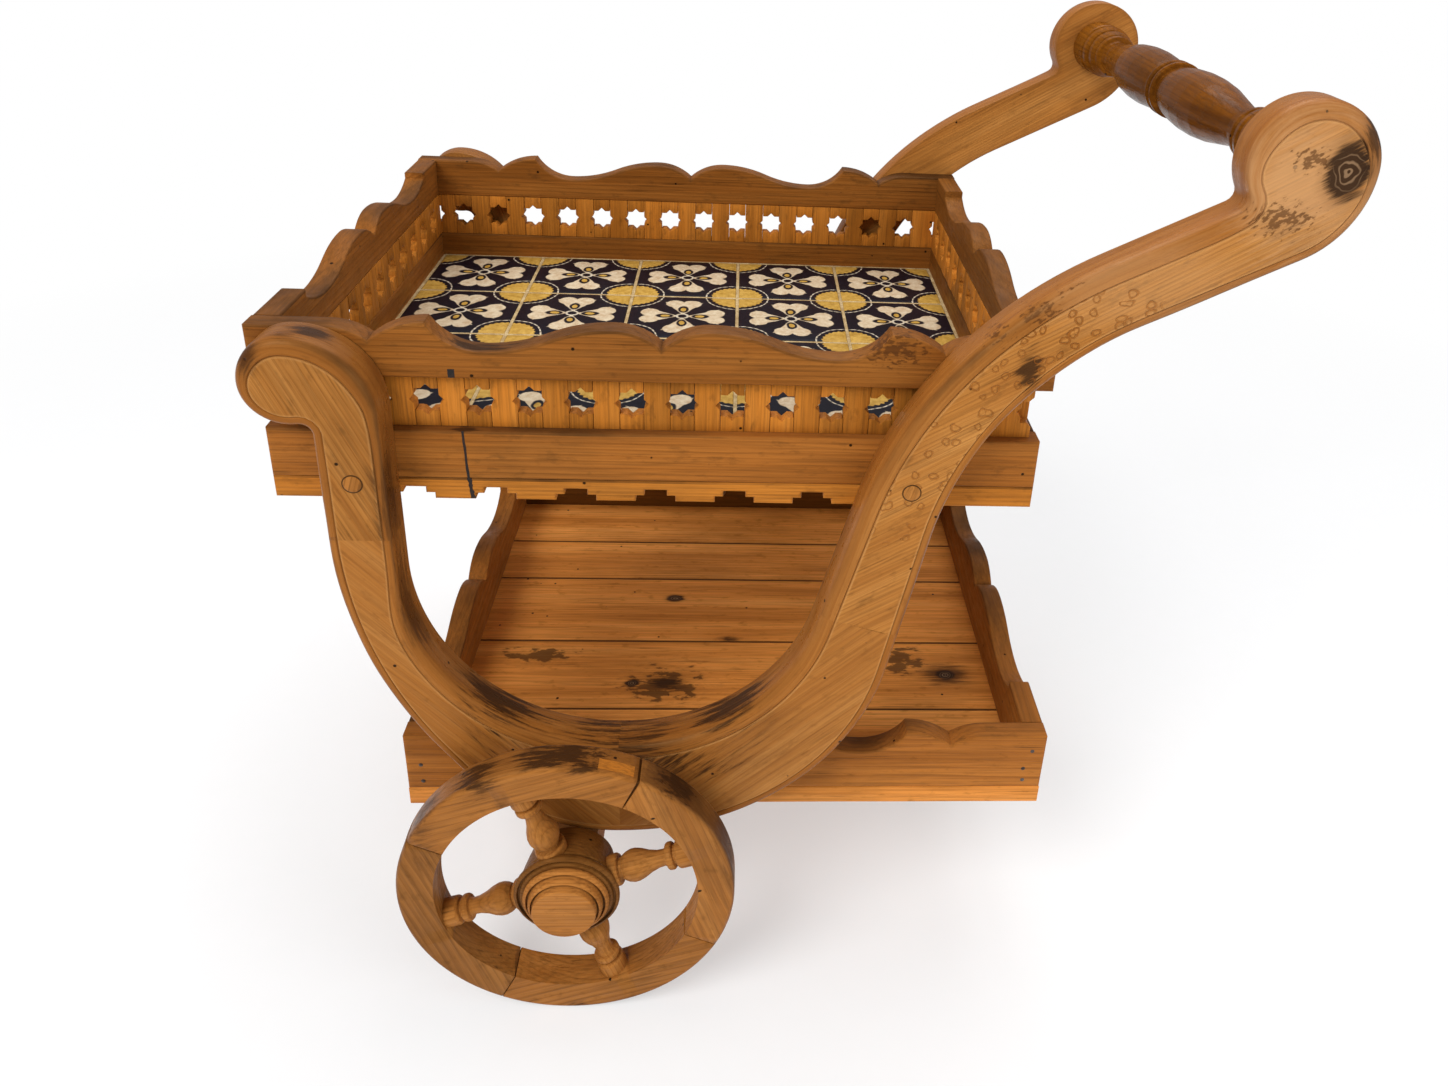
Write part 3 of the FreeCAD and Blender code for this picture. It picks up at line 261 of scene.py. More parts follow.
def dent_rims(tree, here, bent, polish):
    """Rings knocked into the face with a pipe, uneven, and none on the polished edges."""
    apart = add(tree, "ShaderNodeSeparateXYZ", {0: here}).outputs
    on_face = add(tree, "ShaderNodeCombineXYZ", {"X": apart["X"], "Y": apart["Z"]}).outputs[0]
    on_face = add(tree, "ShaderNodeVectorMath", {0: bent, 1: (DENT_BENT,) * 3, 2: on_face},
                  operation="MULTIPLY_ADD").outputs[0]
    cell = add(tree, "ShaderNodeTexVoronoi", {"Vector": on_face, "Scale": 1 / DENT_CELL, "Randomness": 1.0},
               voronoi_dimensions="2D").outputs
    rim = add(tree, "ShaderNodeMath", {0: cell["Distance"], 1: DENT_ROUND}, operation="SUBTRACT").outputs[0]
    rim = add(tree, "ShaderNodeMath", {0: rim}, operation="ABSOLUTE").outputs[0]
    rim = add(tree, "ShaderNodeMapRange", {"Value": rim, "From Min": 0.09, "From Max": 0.02}).outputs[0]
    chosen = add(tree, "ShaderNodeSeparateColor", {0: cell["Color"]}).outputs[1]
    some = add(tree, "ShaderNodeMath", {0: chosen, 1: DENT_SPARE}, operation="GREATER_THAN").outputs[0]
    on_flat = add(tree, "ShaderNodeMath", {0: polish, 1: DENT_POLISH}, operation="LESS_THAN").outputs[0]
    for limit in (some, on_flat):
        rim = add(tree, "ShaderNodeMath", {0: rim, 1: limit}, operation="MULTIPLY").outputs[0]
    return rim


def close_material(tree, colour, rough, height, deep, strong, more):
    """Surface of this colour and roughness, with fine relief and any other sockets."""
    bump = add(tree, "ShaderNodeBump", {"Height": height, "Distance": deep, "Strength": strong})
    surface = add(tree, "ShaderNodeBsdfPrincipled", {"Base Color": colour, "Roughness": rough,
                                                     "Normal": bump.outputs[0], **more})
    add(tree, "ShaderNodeOutputMaterial", {"Surface": surface.outputs[0]})


print("dents lie in cells of", round(DENT_CELL / MM), "mm")

# %% Aged pine material
def aged_pine(name, light, mid, dark, grime="#4b3017", rough=0.5, rings=0.6, shine=0.2, marks=(), dents=(),
              gap=RING_GAP, figure=0.6, scratched=0.4):
    """Waxed old pine: rings, fibre, knots, stains, scratches, worm holes and marks of its own.

    gap is the ring width, and figure is how strongly its broad streaks show.
    """
    material, t = new_material(name)
    at = add(t, "ShaderNodeAttribute", attribute_name="grain_at").outputs["Vector"]
    edge, polish, rub, tone = (add(t, "ShaderNodeAttribute", attribute_name=layer).outputs["Fac"]
                               for layer in ("edge", "polish", "rub", "tone"))
    here = add(t, "ShaderNodeTexCoord").outputs["Object"]
    squeezed = add(t, "ShaderNodeVectorMath", {0: at, 1: GRAIN_SQUEEZE}, operation="MULTIPLY").outputs[0]
    ring = add(t, "ShaderNodeTexWave",
               {"Vector": squeezed, "Scale": WAVE_TURN / gap, "Distortion": 7.0, "Detail": 3.0,
                "Detail Scale": 0.35, "Detail Roughness": 0.55},
               wave_type="RINGS", rings_direction="X", wave_profile="SAW").outputs["Fac"]
    late_wood = add(t, "ShaderNodeMath", {0: ring, 1: 3.0}, operation="POWER").outputs[0]
    fibre, streak, stain, scratch, mottle = (grainy(t, at, *cells) for cells in WOOD_NOISE)
    base = add(t, "ShaderNodeValToRGB", {"Fac": streak})
    first, last = base.color_ramp.elements
    first.position, first.color = max(0, MIDDLE_STREAK - STREAK_SPREAD / figure), linear(light)
    last.position, last.color = min(1, MIDDLE_STREAK + STREAK_SPREAD / figure), linear(dark)
    base.color_ramp.elements.new(MIDDLE_STREAK).color = linear(mid)
    # Small knots are the cores of stretched cells, and worm holes the cores of some small ones
    cell = add(t, "ShaderNodeVectorMath", {0: at, 1: KNOT_CELLS}, operation="MULTIPLY").outputs[0]
    knot_cell = add(t, "ShaderNodeTexVoronoi", {"Vector": cell, "Scale": 1.0}).outputs["Distance"]
    ragged = add(t, "ShaderNodeMath", {0: mottle, 1: 0.10, 2: knot_cell}, operation="MULTIPLY_ADD").outputs[0]
    knot = add(t, "ShaderNodeMapRange", {"Value": ragged, "From Min": 0.115, "From Max": 0.07}).outputs[0]
    halo = add(t, "ShaderNodeMapRange", {"Value": ragged, "From Min": 0.26, "From Max": 0.10,
                                         "To Max": 0.55}).outputs[0]
    hole_cell = add(t, "ShaderNodeTexVoronoi", {"Vector": at, "Scale": 1 / HOLE_CELL}).outputs
    near_hole = add(t, "ShaderNodeMapRange", {"Value": hole_cell["Distance"], "From Min": 0.10,
                                              "From Max": 0.07}).outputs[0]
    chosen = add(t, "ShaderNodeSeparateColor", {0: hole_cell["Color"]}).outputs[0]
    some = add(t, "ShaderNodeMath", {0: chosen, 1: HOLE_SPARE}, operation="GREATER_THAN").outputs[0]
    hole, worn, rubbed_and_highlit, broken = (
        add(t, "ShaderNodeMath", {0: one, 1: other}, operation="MULTIPLY").outputs[0]
        for one, other in ((near_hole, some), (edge, stain), (rub, streak), (late_wood, stain)))
    # Each wash of colour: what places it, from, to, how strong at most, colour
    washes = [(broken, 0.05, 0.55, rings, dark), (fibre, 0.42, 0.70, 0.42, grime),
              (stain, 0.52, 0.78, 0.55, grime), (mottle, 0.58, 0.74, 0.40, grime),
              (polish, 0.0, 1.0, 0.62, dark), (halo, 0.0, 1.0, 0.8, dark),
              (knot, 0.0, 1.0, 0.88, "#311a0b"), (scratch, 0.65, 0.72, scratched, "#2a1608"),
              (worn, 0.24, 0.60, 0.50, "#6b4523"), (worn, 0.45, 0.66, 0.80, "#2c1b0e"),
              # The pale rubbed wash, beside the frames' scored line, is rubbed wood and a painted highlight.
              (rubbed_and_highlit, 0.1, 0.55, 0.5, "#cb965a"), (hole, 0.0, 1.0, 0.95, "#140b05")]
    # Knots and scorched places of this piece, each with an edge torn by its own noise
    loose, bitten, blotched = (
        add(t, "ShaderNodeMath", {0: one, 1: 0.5}, operation="SUBTRACT").outputs[0]
        for one in (grainy(t, at, *STROKES), grainy(t, at, *SPECKS), mottle))
    torn_with = {"worm": bitten, "stain": blotched}
    bent = add(t, "ShaderNodeTexNoise", {"Vector": here, "Scale": BENT_CELLS, "Detail": 1.0}).outputs
    for kind, middle, reach in marks:
        torn_by, halo_most, core_from, core_to, core_most, colour = MARK_KINDS[kind]
        far = from_middle(t, here, middle, reach)
        torn = add(t, "ShaderNodeMath", {0: torn_with.get(kind, loose), 1: torn_by, 2: far},
                   operation="MULTIPLY_ADD").outputs[0]
        washes += [(torn, 1.35, 0.6, halo_most, "#5a3517"), (torn, core_from, core_to, core_most, colour)]
        if kind == "knot":
            turns = add(t, "ShaderNodeMath", {0: bent["Fac"], 1: 0.7, 2: far},
                        operation="MULTIPLY_ADD").outputs[0]
            turns = add(t, "ShaderNodeMath", {0: turns, 1: KNOT_TURNS}, operation="MULTIPLY").outputs[0]
            wave = add(t, "ShaderNodeMath", {0: turns}, operation="COSINE").outputs[0]
            core = add(t, "ShaderNodeMapRange", {"Value": far, "From Min": 0.95, "From Max": 0.15}).outputs[0]
            lines = add(t, "ShaderNodeMath", {0: wave, 1: core}, operation="MULTIPLY").outputs[0]
            washes.append((lines, 0.25, 0.8, 0.5, "#a58361"))
    relief = fibre
    if dents:
        ringed = dent_rims(t, here, bent["Color"], polish)
    for middle, reach in dents:
        far = from_middle(t, here, middle, reach)
        within = add(t, "ShaderNodeMapRange", {"Value": far, "From Min": 1.0, "From Max": 0.8}).outputs[0]
        rim = add(t, "ShaderNodeMath", {0: ringed, 1: within}, operation="MULTIPLY").outputs[0]
        washes.append((rim, 0.1, 1.0, 0.55, dark))
        relief = add(t, "ShaderNodeMath", {0: rim, 1: -4.0, 2: relief}, operation="MULTIPLY_ADD").outputs[0]
    colour_now = base.outputs[0]
    for value, low, high, most, colour in washes:
        share = add(t, "ShaderNodeMapRange", {"Value": value, "From Min": low, "From Max": high,
                                              "To Max": most}).outputs[0]
        colour_now = add(t, "ShaderNodeMix", {0: share, 6: colour_now, 7: linear(colour)},
                         data_type="RGBA").outputs[2]
    # Tone makes a whole piece darker or lighter: for most pieces its own wood, and for some boards, the hubs
    # and one felloe also painted light and shade.
    shade = add(t, "ShaderNodeMath", {0: tone, 1: TONE_STEP, 2: 1.0}, operation="MULTIPLY_ADD").outputs[0]
    colour_now = add(t, "ShaderNodeHueSaturation", {"Value": shade, "Color": colour_now}).outputs[0]
    # Relief: soft early wood stands lower, scratches and worm holes are cut in
    for value, weight in ((late_wood, 0.5), (mottle, 0.8), (scratch, -0.5), (hole, -4.0), (knot, 0.6)):
        relief = add(t, "ShaderNodeMath", {0: value, 1: weight, 2: relief},
                     operation="MULTIPLY_ADD").outputs[0]
    waxed = add(t, "ShaderNodeMapRange", {"Value": mottle, "From Min": 0.3, "From Max": 0.7,
                                          "To Min": rough - 0.10, "To Max": rough + 0.12}).outputs[0]
    waxed = add(t, "ShaderNodeMath", {0: polish, 1: POLISH_GLOSS, 2: waxed},
                operation="MULTIPLY_ADD").outputs[0]
    close_material(t, colour_now, waxed, relief, RELIEF_DEEP, RELIEF_STRONG,
                   {"IOR": WAX_IOR, "Specular IOR Level": shine, "Specular Tint": linear(AMBER_WAX)})
    return material


print("rings of the pine are", round(RING_GAP / MM, 1), "mm apart unless a wood says otherwise")

# %% [markdown]
# Every wood then gets its own three browns, light to dark, and the marks that its pieces bear.
# A mark says what it is, where its middle lies and how far it reaches, in millimetres.

# %% Marks of use and the six woods
FRAME_MARKS = (("dry", (335, -268, 742), (55, 12, 52)), ("pale", (235, -268, 668), (90, 12, 40)),
               ("worm", (336, -268, 757), (13, 10, 7)), ("worm", (322, -268, 716), (22, 10, 10)),
               ("char", (373, -262, 772), (10, 20, 20)), ("knot", (361, -268, 750), (17, 20, 23)),
               ("burn", (-374, -266, 598), (12, 12, 16)), ("burn", (-348, -264, 613), (24, 10, 6)),
               ("burn", (-300, -262, 606), (20, 10, 8)), ("char", (-330, -250, 608), (20, 9, 10)),
               ("char", (-130, -246, 236), (110, 34, 22)), ("char", (-226, -250, 284), (40, 18, 40)),
               ("char", (-36, -252, 276), (50, 16, 30)), ("burn", (-292, -258, 480), (10, 14, 50)),
               ("burn", (-283, -256, 390), (12, 14, 60)), ("char", (330, -258, 708), (22, 10, 10)),
               ("char", (167, -268, 599), (9, 10, 16)), ("worm", (166, -268, 645), (14, 10, 10)),
               ("worm", (180, -268, 664), (12, 10, 7)), ("worm", (132, -262, 625), (20, 12, 7)))
FRAME_DENTS = (((125, -268, 560), (120, 20, 130)), ((200, -268, 645), (60, 20, 40)))
SHELF_MARKS = (("stain", (-229, -63, 175), (30, 14, 10)), ("stain", (-101, -106, 175), (34, 24, 10)),
               ("char", (-101, -104, 175), (18, 10, 10)), ("knot", (-134, -104, 175), (8, 6, 10)),
               ("burn", (179, -90, 175), (24, 16, 10)), ("knot", (179, -90, 175), (11, 8, 10)),
               ("stain", (136, -68, 175), (20, 22, 10)), ("knot", (-99.5, 32, 175), (11, 6, 10)))
TRAY_MARKS = (("worm", (73.5, -236, 599), (24, 20, 12)), ("char", (-225, -228, 590), (28, 8, 5)),
              ("char", (-238, -234, 526), (10, 20, 4)))
WHEEL_MARKS = (("char", (-169, -300, 274), (55, 18, 7)), ("char", (-236, -304, 258), (22, 14, 16)),
               ("char", (-78, -298, 243), (20, 16, 22)), ("burn", (-36, -300, 200), (14, 16, 50)),
               ("burn", (-277, -302, 200), (14, 14, 50)), ("char", (-160, -300, 3), (20, 20, 6)))

frame_pine = aged_pine("waxed_frame_pine", "#c48d4d", "#ae7335", "#884e1b", marks=FRAME_MARKS,
                       dents=FRAME_DENTS, gap=2.6 * MM, figure=0.42, scratched=0.3, rings=0.55)
tray_pine = aged_pine("waxed_tray_pine", "#b07030", "#9c5e25", "#764213", marks=TRAY_MARKS, figure=0.5)
star_pine = aged_pine("orange_star_pine", "#c88236", "#b97127", "#93571c", rings=0.3, gap=2.8 * MM,
                      figure=0.4, scratched=0.2)
shelf_pine = aged_pine("waxed_shelf_pine", "#e59c4f", "#d6893e", "#a96528", grime="#6a3f12", rings=0.35,
                       marks=SHELF_MARKS, figure=0.7, scratched=0.35)
wheel_pine = aged_pine("waxed_wheel_pine", "#bd8142", "#a86c31", "#7e4918", marks=WHEEL_MARKS, gap=3 * MM,
                       rings=0.55, figure=0.5)
turned_wood = aged_pine("dark_turned_hardwood", "#9c5f1c", "#7f480d", "#4f2804", rough=0.27, rings=0.5,
                        shine=0.1, figure=0.8)
print("frame pine has", len(frame_pine.node_tree.nodes), "nodes")

# %% [markdown]
# ## Boards cut from an outline
# A board is an outline sawn from a plank, with its edges eased by a plane and by years of
# hands. So each board is made from its outline: the flat face of the solid is walked round,
# its line is divided evenly, and rings of points are stepped in and round over the edge. The
# rings give real rounded edges, and they also say how near each point is to the edge.

# %% Walk round the flat face of a solid
SAME_POINT = 0.01 * MM


def flat_outline(names, axis, high):
    """Outer outline of the flat face at one end of an axis, and which solid each edge belongs to."""
    bm = bmesh.new()
    owner = bm.faces.layers.int.new("owner")
    for number, name in enumerate(names):
        first = len(bm.faces)
        bm.from_mesh(nodes[name].data)
        bm.faces.ensure_lookup_table()
        for face in bm.faces[first:]:
            face[owner] = number
    bmesh.ops.remove_doubles(bm, verts=bm.verts, dist=SAME_POINT)
    level = (max if high else min)(v.co[axis] for v in bm.verts)
    flat = {f for f in bm.faces if all(abs(v.co[axis] - level) < SAME_POINT for v in f.verts)}
    u, v = [k for k in range(3) if k != axis]
    ahead = {}
    for edge in bm.edges:
        own = [f for f in edge.link_faces if f in flat]
        if len(own) == 1:
            for a, b in (edge.verts, reversed(edge.verts)):
                ahead.setdefault(a, []).append((b, own[0][owner]))
    loops, used = [], set()
    for start in sorted(ahead, key=lambda w: tuple(w.co)):
        if start in used:
            continue
        points, owners, here = [], [], start
        while here not in used:
            used.add(here)
            points.append((here.co[u], here.co[v]))
            onward = ([(b, o) for b, o in ahead[here] if b not in used]
                      or [(b, o) for b, o in ahead[here] if b == start])
            here, owned = onward[0]
            owners.append(owned)
        loops.append((np.array(points), np.array(owners)))
    bm.free()
    points, owners = max(loops, key=lambda loop: np.linalg.norm(
        loop[0] - np.roll(loop[0], -1, 0), axis=1).sum())
    area = (points[:, 0] * np.roll(points[:, 1], -1) - np.roll(points[:, 0], -1) * points[:, 1]).sum()
    if area < 0:
        points = points[::-1]
        owners = np.roll(owners[::-1], -1)
    return points, owners


sample, sample_owner = flat_outline(["left_top_rail"], 1, True)
print("rail outline has", len(sample), "corners")

# %% Divide an outline and step it inward
CORNER_TURN = math.radians(24)
BOARD_STEP = 4 * MM


def run_length(points):
    """How far along a line each of its points lies."""
    return np.concatenate([[0], np.cumsum(np.linalg.norm(np.diff(points, axis=0), axis=1))])


def divided(points, owners, step):
    """The same outline in even short steps, with its corners and joints kept."""
    back = points - np.roll(points, 1, 0)
    onward = np.roll(points, -1, 0) - points
    turn = np.abs(np.angle((onward @ [1, 1j]) / (back @ [1, 1j])))
    kept = (turn > CORNER_TURN) | (owners != np.roll(owners, 1))
    starts = np.flatnonzero(kept) if kept.any() else np.array([0])
    new_points, new_owners = [], []
    for here, there in zip(starts, np.append(starts[1:], starts[0] + len(points))):
        run = points[np.arange(here, there + 1) % len(points)]
        along = run_length(run)
        count = max(1, round(along[-1] / step))
        at = np.linspace(0, along[-1], count, endpoint=False)
        new_points.append(np.stack([np.interp(at, along, run[:, k]) for k in (0, 1)], 1))
        new_owners.append(np.full(count, owners[here]))
    return np.concatenate(new_points), np.concatenate(new_owners)


def inward(points):
    """Step that moves each outline point in by one unit, mitred at the corners."""
    edge = np.roll(points, -1, 0) - points
    edge /= np.linalg.norm(edge, axis=1)[:, None]
    normal = np.stack([-edge[:, 1], edge[:, 0]], 1)
    both = normal + np.roll(normal, 1, 0)
    both /= np.linalg.norm(both, axis=1)[:, None]
    return both / np.clip((both * normal).sum(1), 0.5, 1)[:, None]


print("divided, it has", len(divided(sample, sample_owner, BOARD_STEP)[0]), "points")

# %% [markdown]
# The rings are joined by strips of faces, and the two flat faces close the board. A frame that
# is glued from several lengths is built in one go and parted at its joints, so the lengths
# meet exactly and each keeps its own grain.

# %% Close a mesh and finish its faces
SHARP, SHARP_TURNING, SHARP_TILE = 34, 40, 50


def finish_faces(mesh, angle=SHARP):
    """Smooth shading that stays crisp at real corners."""
    mesh.polygons.foreach_set("use_smooth", [True] * len(mesh.polygons))
    mesh.set_sharp_from_angle(angle=math.radians(angle))


def one_finish(mesh, material):
    """Give the whole mesh one material."""
    mesh.materials.clear()
    mesh.materials.append(material)
    mesh.polygons.foreach_set("material_index", [0] * len(mesh.polygons))


def closed_mesh(name, verts, faces, merge=False, ease=0):
    """Mesh with its faces turned outward, with points merged or edges eased where asked."""
    mesh = bpy.data.meshes.new(name)
    mesh.from_pydata(verts, [], faces)
    bm = bmesh.new()
    bm.from_mesh(mesh)
    if merge:
        bmesh.ops.remove_doubles(bm, verts=bm.verts, dist=SAME_POINT)
    bmesh.ops.recalc_face_normals(bm, faces=bm.faces)
    if ease:
        bmesh.ops.bevel(bm, geom=bm.edges[:], offset=ease, segments=2, affect="EDGES", profile=0.5)
    bm.to_mesh(mesh)
    bm.free()
    return mesh


print("a board's faces look crisp where they turn by more than", SHARP, "degrees")

# %% Build a board from rings
def ring(points, step, inset, level):
    """One ring of a board: its outline stepped in, and where it lies through the thickness."""
    count = len(points)
    return points + step * np.broadcast_to(inset, count)[:, None], np.broadcast_to(level, count).astype(float)


def filled(outline):
    """Triangles that fill a flat outline, as numbers of its points."""
    count = len(outline)
    edges = [(k, (k + 1) % count) for k in range(count)]
    made = delaunay_2d_cdt([Vector(spot) for spot in outline.tolist()], edges, [], 1, SAME_POINT / 100)
    return [tuple(made[3][corner][0] for corner in face) for face in made[2]]


def stacked(name, points, owners, part, rings, axis):
    """Closed board of one glued length: rings are (points in, level) pairs along the axis."""
    count = len(points)
    mine = np.flatnonzero(owners == part)
    whole = len(mine) == count
    runs = [np.arange(count)] if whole else []
    for first in mine[owners[mine - 1] != part]:
        run = [first]
        while owners[run[-1] % count] == part:
            run.append(run[-1] + 1)
        runs.append(np.array(run) % count)
    order = np.concatenate(runs)
    height, levels = len(order), range(len(rings))
    verts = np.concatenate([np.insert(spot[order], axis, level[order], axis=1) for spot, level in rings])
    last_ring = height * levels[-1]
    faces = filled(rings[0][0][order])
    faces += [tuple(last_ring + corner for corner in face) for face in filled(rings[-1][0][order])]
    first = 0
    for run in runs:
        last = first + len(run)
        pairs = [(k, k + 1) for k in range(first, last - 1)]
        if whole:
            pairs.append((last - 1, first))
        for low in levels[:-1]:
            low, top = low * height, (low + 1) * height
            faces += [(low + a, low + b, top + b, top + a) for a, b in pairs]
        if not whole:
            other = last % height
            faces.append(tuple([last - 1 + k * height for k in levels]
                               + [other + k * height for k in reversed(levels)]))
        first = last
    mesh = closed_mesh(name, verts.tolist(), faces)
    finish_faces(mesh)
    return new_object(name, mesh), order


print("one rail face fills with", len(filled(sample)), "triangles")

# %% Lay the grain of a piece
def store(mesh, name, values):
    """Keep one value, or one vector, for each point of a mesh."""
    values = np.asarray(values, np.float32)
    kind, field = ("FLOAT", "value") if values.ndim == 1 else ("FLOAT_VECTOR", "vector")
    layer = mesh.attributes.get(name) or mesh.attributes.new(name, kind, "POINT")
    layer.data.foreach_set(field, values.ravel())


def points_of(mesh):
    spots = np.empty(len(mesh.vertices) * 3)
    mesh.vertices.foreach_get("co", spots)
    return spots.reshape(-1, 3)


draw = random.Random(11)


def lay_grain(mesh, along, tone=0.0, origin=(0, 0, 0)):
    """Grain coordinates: along the fibre, then two ways across it, from a plank of its own."""
    fibre = Vector(along).normalized()
    side = fibre.cross(Vector((0, 0, 1)) if abs(fibre.z) < 0.9 else Vector((1, 0, 0))).normalized()
    grain = (points_of(mesh) - np.array(origin)) @ np.array([fibre, side, fibre.cross(side)]).T
    grain += [draw.uniform(-9, 9), draw.uniform(-0.07, 0.07), draw.uniform(0.05, 0.13)]
    store(mesh, "grain_at", grain)
    store(mesh, "tone", np.full(len(grain), tone))
    return grain


print("board tools ready")

# %% [markdown]
# ## Side frames
# Each frame is four sawn lengths glued end to end: a leg with a scroll, two halves of the bow
# and an arm. Its inner edge is rounded like a worn bannister, its outer edge less so, and a
# scored line runs round the face a finger's width in from the edge. The round grows and
# shrinks along one continuous outline, so it is worked out point by point.

# %% Frames with rounded edges and a scored line
# Each length: the way its grain runs, its tone, and the wax on its face
FRAME_LENGTHS = {"front_leg": ((0.45, 0, -1), -0.3, 0.15), "bow_front": ((0.9, 0, -1), 0.1, 0.6),
                 "bow_rear": ((1, 0, 0.9), 0.25, 0.5), "arm": ((1, 0, 0.6), 0.3, 0.1)}
FRAME_STEP = 3 * MM
ROUND_INNER, ROUND_OUTER = 8.5 * MM, 3.5 * MM
SCORE_INNER, SCORE_OUTER = 12.5 * MM, 6.4 * MM
SCORE_WIDE, SCORE_DEEP = 0.9 * MM, 0.9 * MM
FACE_IN, BACK_IN = 7 * MM, 10 * MM
BACK_ROUND = 1.5 * MM
ROUND_STEPS = 6
# Wear along the edge: how long its waves are, and how deep
FRAME_WEAR = (40 * MM, 0.7 * MM)
FACING_UP = 0.15
BLEND_PASSES = 40
EDGE_RINGS = range(2, 13)
EDGE_HEART = 0.1
SIDES = (("left", -1), ("right", 1))


def wear(points, size, depth):
    """Slow unevenness of a hand-worn edge, the same each run."""
    x, y = points.T / size
    return depth * (np.sin(1.7 * x + 0.6 * np.sin(2.3 * y)) + np.sin(2.9 * y + 1.3 * np.sin(1.1 * x))) / 2


def smoothed(values, passes):
    for _ in range(passes):
        values = (np.roll(values, 1) + values + np.roll(values, -1)) / 3
    return values


def frame_side(side, sign):
    names = [f"{side}_{length}" for length in FRAME_LENGTHS]
    points, owners = divided(*flat_outline(names, 1, sign < 0), FRAME_STEP)
    step = inward(points)
    low, high = (corner.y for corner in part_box(names[0]))
    back, thick = high if sign < 0 else low, high - low
    # The bow's own edge and all that faces up is the inner edge
    inner = -step[:, 1] > FACING_UP
    radius = smoothed(np.where(inner, ROUND_INNER, ROUND_OUTER), BLEND_PASSES) + wear(points, *FRAME_WEAR)
    score = smoothed(np.where(inner, SCORE_INNER, SCORE_OUTER), BLEND_PASSES)
    # Rings from the back to the face: how far in, how far out, grime, polish, and rubbed wood with a painted
    # highlight
    rows = [(BACK_IN, 0, 0.0, 0.2, 0.0), (BACK_ROUND, 0, 0.8, 0.6, 0.0),
            (BACK_ROUND * 0.3, BACK_ROUND * 0.3, 0.8, 0.7, 0.0), (0, BACK_ROUND, 0.6, 0.8, 0.0)]
    for turn in np.linspace(0, math.pi / 2, ROUND_STEPS + 1):
        rows.append((radius * (1 - math.cos(turn)), thick - radius * (1 - math.sin(turn)),
                     0.45 + 0.45 * math.sin(turn * 2), 0.9, 0.0))
    # The scored line: lip, groove, inner lip painted pale as rubbed wood and a painted highlight, then the dry
    # face
    rows += [(score - SCORE_WIDE, thick, 0.45, 0.85, 0.0), (score, thick - SCORE_DEEP, 0.9, 0.6, 0.1),
             (score + SCORE_WIDE, thick, 0.2, 0.1, 0.9), (score + 3 * SCORE_WIDE, thick, 0.1, 0.0, 0.0),
             (score + FACE_IN, thick, 0.0, 0.0, 0.0)]
    rings = [ring(points, step, inset, back + sign * np.asarray(out)) for inset, out, *_ in rows]
    edge, polish, rub = (np.array([row[k] for row in rows]) for k in (2, 3, 4))
    around = run_length(points)
    section = np.array([np.column_stack(one) for one in rings])
    over = np.insert(np.cumsum(np.linalg.norm(np.diff(section, axis=0), axis=2), axis=0), 0, 0, axis=0)
    for part, (along, tone, wax) in enumerate(FRAME_LENGTHS.values()):
        piece, order = stacked(f"{names[part]}_worn", points, owners, part, rings, 1)
        for layer, amounts in (("edge", edge), ("polish", np.maximum(polish, wax)), ("rub", rub)):
            store(piece.data, layer, np.repeat(amounts, len(order)))
        grain = lay_grain(piece.data, along, tone).reshape(len(rings), -1, 3)
        # Wear runs along the rounded edge, so there the grain follows the outline
        for k in EDGE_RINGS:
            grain[k] = np.column_stack([around[order] + part, over[k][order], np.full(len(order), EDGE_HEART)])
        store(piece.data, "grain_at", grain.reshape(-1, 3))
        piece.data.materials.append(frame_pine)
        show(piece, "cart", names[part], slot="frame_wood")
    return len(points)


for side, sign in SIDES:
    print(side, "frame outline in", frame_side(side, sign), "steps")

# %% [markdown]
# ## Rails, aprons, trims and planks
# The tray's boards and the lower tray's planks are plain boards with sawn outlines. They all
# come from the same board maker, with a smaller round on their edges than the frames have.

# %% Boards of both trays
BOARD_ROUND, PLANK_ROUND = 1.4 * MM, 0.7 * MM
EASE_RINGS = 4
# Wear along a board's edge: how long its waves are, and how deep as a share of the round
BOARD_WEAR = (55 * MM, 0.35)
ALONG_X, ALONG_Y, UPRIGHT = (1, 0, 0), (0, 1, 0), (0, 0, 1)
JOINT_GRIME, OPEN_GRIME = 1.8, 0.2
shelf_half = max(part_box(f"shelf_plank_{number}")[1].y for number in ("one", "five"))


def board(node, axis, material, slot, grain, tone=0.0, fade=4 * MM, ease=BOARD_ROUND):
    """One board in place of its solid, with eased edges and its own grain."""
    low, high = (corner[axis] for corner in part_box(node))
    points, owners = divided(*flat_outline([node], axis, True), BOARD_STEP)
    step = inward(points)
    worn = ease * (1 + np.abs(wear(points, *BOARD_WEAR)))
    eased = [(worn * (1 - math.cos(turn)), worn * (1 - math.sin(turn)))
             for turn in np.linspace(0, math.pi / 2, EASE_RINGS)]
    rows = [(fade, low), *((up, low + aside) for aside, up in eased),
            *((aside, high - up) for aside, up in eased), (fade, high)]
    edge = np.array([0.0] + [1.0] * (2 * EASE_RINGS) + [0.0])
    piece, order = stacked(f"{node}_worn", points, owners, 0, [ring(points, step, *row) for row in rows], axis)
    if axis == 2:
        # Dirt fills the joint between two planks, and the open edges stay clean
        joint = (np.abs(step[:, 1]) > 0.5) & (np.abs(points[:, 1]) < shelf_half - BOARD_ROUND)
        up = np.where(joint, JOINT_GRIME, OPEN_GRIME)
    else:
        up = np.clip(-step[:, 1], 0.25, 1)
    store(piece.data, "edge", np.outer(edge, up[order]).ravel())
    lay_grain(piece.data, grain, tone)
    piece.data.materials.append(material)
    return show(piece, "cart", node, slot=slot)
